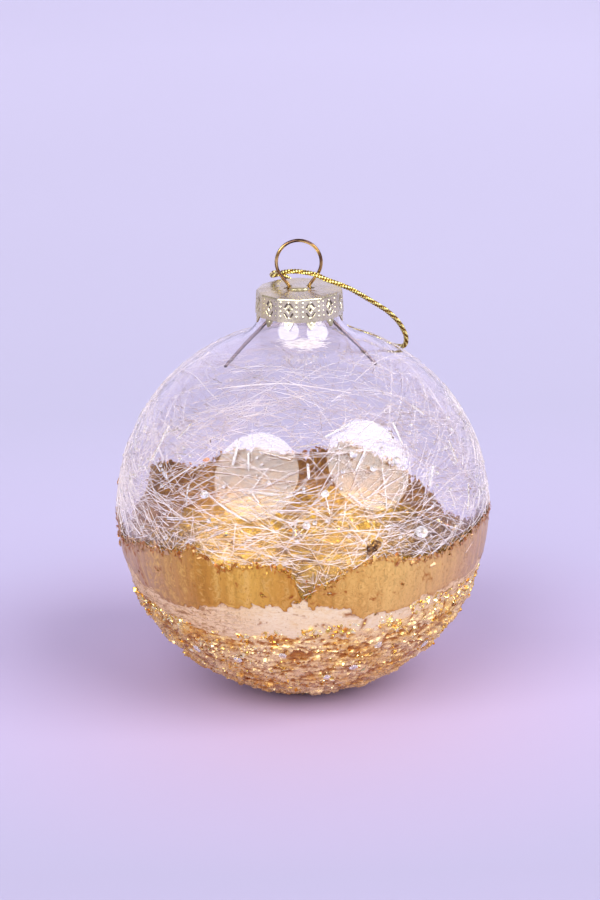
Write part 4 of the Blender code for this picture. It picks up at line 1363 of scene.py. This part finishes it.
def plate_height(x, y, r, turn):
    """Height of the cap's plate in mm over CAP_TOP_Z: dome, wrinkles and the strap between the slots."""
    edge = CAP_TOP_R / MM
    dome = CAP_DOME / MM * (1.0 - (r / edge) ** 2)
    wrinkles = noise_round(turn, 7.0, 0.12 * r)
    wrinkles *= 0.07 * smoothstep(1.5, 4.5, r) * (1.0 - 0.7 * smoothstep(8.0, edge, r))
    strap = 1.0 - smoothstep(0.35, 1.0, (np.abs(x) / 2.3) ** 4 + (np.abs(y) / 2.3) ** 4)
    pressed = 0.12 * (1.0 - smoothstep(3.4, 4.2, np.hypot(x, 1.2 * y)))
    return dome + wrinkles + 0.5 * strap - pressed


def cap_stock():
    """The cap before its slots are cut: outer skin from the plate to the teeth, then the inner skin back."""
    columns = PANELS * PANEL_COLUMNS
    index = np.arange(columns)
    offset = ((index % PANEL_COLUMNS) / PANEL_COLUMNS * 2.0 - 1.0) * HALF_PANEL
    middle = (2 * (index // PANEL_COLUMNS) + 1) * HALF_PANEL - math.pi / 2
    turn = middle + offset
    flat = math.cos(HALF_PANEL) / np.cos(offset)
    across = CAP_TOP_R / MM * math.cos(HALF_PANEL) * np.tan(offset)
    tooth = TOOTH_LENGTH * np.clip((1.02 - np.abs(across)) / 0.8, 0.0, 1.0) ** 0.9
    wear = noise_round(turn, 9.0, np.full(columns, 3.0))
    blank = np.zeros(columns)
    plate_radii = list(np.linspace(0.25, 4.4, 30)) + list(np.linspace(4.7, 8.9, 22))
    layers = []
    for inset, radii, wall_rows in ((0.0, plate_radii, 52), (SHEET, plate_radii[::3] + [8.6], 6)):
        outer = inset == 0.0
        skin = []
        for r in radii:
            reach = r * MM * (1.0 + smoothstep(5.0, 8.9, r) * (flat - 1.0))
            x, y = reach * np.cos(turn) / MM, reach * np.sin(turn) / MM
            height = CAP_TOP_Z + plate_height(x, y, np.full(columns, r), turn) * MM - inset
            skin.append((reach, height, blank))
        for k in range(1, 6):
            bend = math.pi / 2 * k / 5
            reach = (CAP_TOP_R - inset - CAP_EDGE + CAP_EDGE * math.sin(bend)) * flat
            height = CAP_TOP_Z - inset - CAP_EDGE * (1.0 - math.cos(bend)) + blank
            skin.append((reach, height, blank))
        for k in range(1, wall_rows + 1):
            share = k / wall_rows
            start = CAP_TOP_Z - CAP_EDGE - inset
            height = start + (CAP_BOTTOM_Z - tooth - start) * share
            straight = np.clip((CAP_TOP_Z - height) / (CAP_TOP_Z - CAP_BOTTOM_Z), 0.0, 1.0)
            reach = (CAP_TOP_R + (CAP_BOTTOM_R - CAP_TOP_R) * straight - inset) * flat
            reach = reach + TOOTH_FLARE * np.clip((CAP_BOTTOM_Z - height) / TOOTH_LENGTH, 0.0, 1.0)
            pressed = panel_relief(across, (CAP_TOP_Z - height) / MM) if outer else blank
            pressed = pressed * smoothstep(0.0, 0.06, share) + 0.03 * wear * smoothstep(0.2, 1.0, share)
            skin.append((reach, height, pressed))
        layers += skin if outer else skin[::-1]
    points = []
    for reach, height, relief in layers:
        out = relief * MM
        points += zip(reach * np.cos(turn) + out * np.cos(middle),
                      reach * np.sin(turn) + out * np.sin(middle), height + CENTRE.z)
    faces = [face[::-1] for face in grid_faces(len(layers), columns, 0, True)]
    faces += [tuple(range(columns)), tuple(range(len(points) - columns, len(points)))[::-1]]
    shape = Shape()
    shape.add(points, faces, [(0.0, 0.0, 0.0)] * len(points))
    return new_object("cap_stock", build_mesh("cap_stock", shape, 35.0))


def slot_cutter():
    """Two rounded blocks, where the wire passes through the plate."""
    bm = bmesh.new()
    for side in (-1.0, 1.0):
        block = bmesh.ops.create_cube(bm, size=1.0)["verts"]
        bmesh.ops.scale(bm, verts=block, vec=(SLOT_WIDTH, SLOT_DEPTH, 4 * MM))
        bmesh.ops.translate(bm, verts=block, vec=(side * SLOT_X, 0.0, CENTRE.z + CAP_TOP_Z))
    upright = [edge for edge in bm.edges if abs(edge.verts[0].co.z - edge.verts[1].co.z) > 3 * MM]
    bmesh.ops.bevel(bm, geom=upright, offset=0.5 * MM, segments=5, affect="EDGES")
    mesh = bpy.data.meshes.new("slot_cutter")
    bm.to_mesh(mesh)
    bm.free()
    return new_object("slot_cutter", mesh)


def make_cap(material):
    cap, cutter = cap_stock(), slot_cutter()
    slots = cap.modifiers.new("slots", "BOOLEAN")
    slots.operation, slots.object = "DIFFERENCE", cutter
    mesh = bpy.data.meshes.new_from_object(cap.evaluated_get(bpy.context.evaluated_depsgraph_get()))
    for spare in (cap, cutter):
        bpy.data.objects.remove(spare, do_unlink=True)
    points = as_array(vert.co for vert in mesh.vertices)
    turns = np.arctan2(points[:, 1], points[:, 0]) + math.pi / 2
    offsets = turns % (2 * HALF_PANEL) - HALF_PANEL
    down = (CENTRE.z + CAP_TOP_Z - points[:, 2]) / MM
    panel_r = CAP_TOP_R * math.cos(HALF_PANEL)
    outside = np.hypot(points[:, 0], points[:, 1]) * np.cos(offsets) > panel_r - 0.5 * SHEET
    pressed = panel_relief(panel_r / MM * np.tan(offsets), down)
    spots = np.stack([turns, down, 0.5 + 2.0 * np.where(outside & (down > 0.3), pressed, 0.0)], axis=1)
    lay = mesh.attributes.get("lay") or mesh.attributes.new("lay", "FLOAT_VECTOR", "POINT")
    lay.data.foreach_set("vector", spots.astype(np.float32).ravel())
    add_piece("crown_cap", mesh, material, "cap", ["cap_shell"])


def make_hanger(material):
    leg = smooth_path([(x * MM, 0.0, z * MM) for x, z in LEG_ROUTE], 60)
    turns = np.linspace(RING_OPENING - math.pi / 2, 1.5 * math.pi - RING_OPENING, 97)
    ring = np.stack([RING_R * np.cos(turns), 0.0 * turns, RING_Z + RING_R * np.sin(turns)], axis=1)
    left = leg * np.array((-1.0, 1.0, 1.0))
    path = even_path(np.concatenate([left[::-1], ring[::-1][1:-1], leg]), 300)
    for _ in range(2):
        path[1:-1] = 0.5 * path[1:-1] + 0.25 * (path[:-2] + path[2:])
    radii = np.full(len(path), WIRE_R)
    radii[:3] = radii[-3:][::-1] = WIRE_R * np.array((0.45, 0.8, 0.97))
    shape = Shape()
    add_tube(shape, path + np.array(CENTRE), radii, 16)
    ringed = smoothstep(CAP_BOTTOM_Z, CAP_TOP_Z, np.array(shape.points)[:, 2] - CENTRE.z)
    shape.lay = [(*spot[:2], share) for spot, share in zip(shape.lay, ringed)]
    piece_of("hanger_spring", shape, material, "hanger", ["hanger_wire"])


# ---------------------------------------------------------------- carried-over CAD nodes

def dress_kept_nodes(hair, chips):
    for name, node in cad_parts.items():
        for start, material in (("glass_hair", hair), ("crust_chip", chips)):
            if name.startswith(start):
                for slot in node.material_slots:
                    slot.material = material


def main():
    make_camera()
    make_lights()
    make_floor()
    make_cord(cord_gold())
    make_glass(clear_glass())
    orange, pale = orange_leaf(), pale_leaf()
    make_leaf(orange, pale)
    burnt = burnt_leaf()
    make_flakes(orange, burnt)
    make_torn_bits(orange, burnt)
    make_crust(crust_gold())
    make_gold_chips(chip_gold())
    fine = hair_glass("glass_hair_fine", FINE_TINT, 0.64)
    bright = hair_glass("glass_hair_bright", BRIGHT_TINT, 0.55)
    clear = hair_glass("rod_glass", ROD_TINT, 0.85)
    make_hair({"fine": fine, "bright": bright, "clear": clear})
    make_droplets(clear)
    make_rods(clear)
    make_beads(clear)
    make_cap(cap_metal())
    make_hanger(wire_gold())
    dress_kept_nodes(fine, clear)


main()
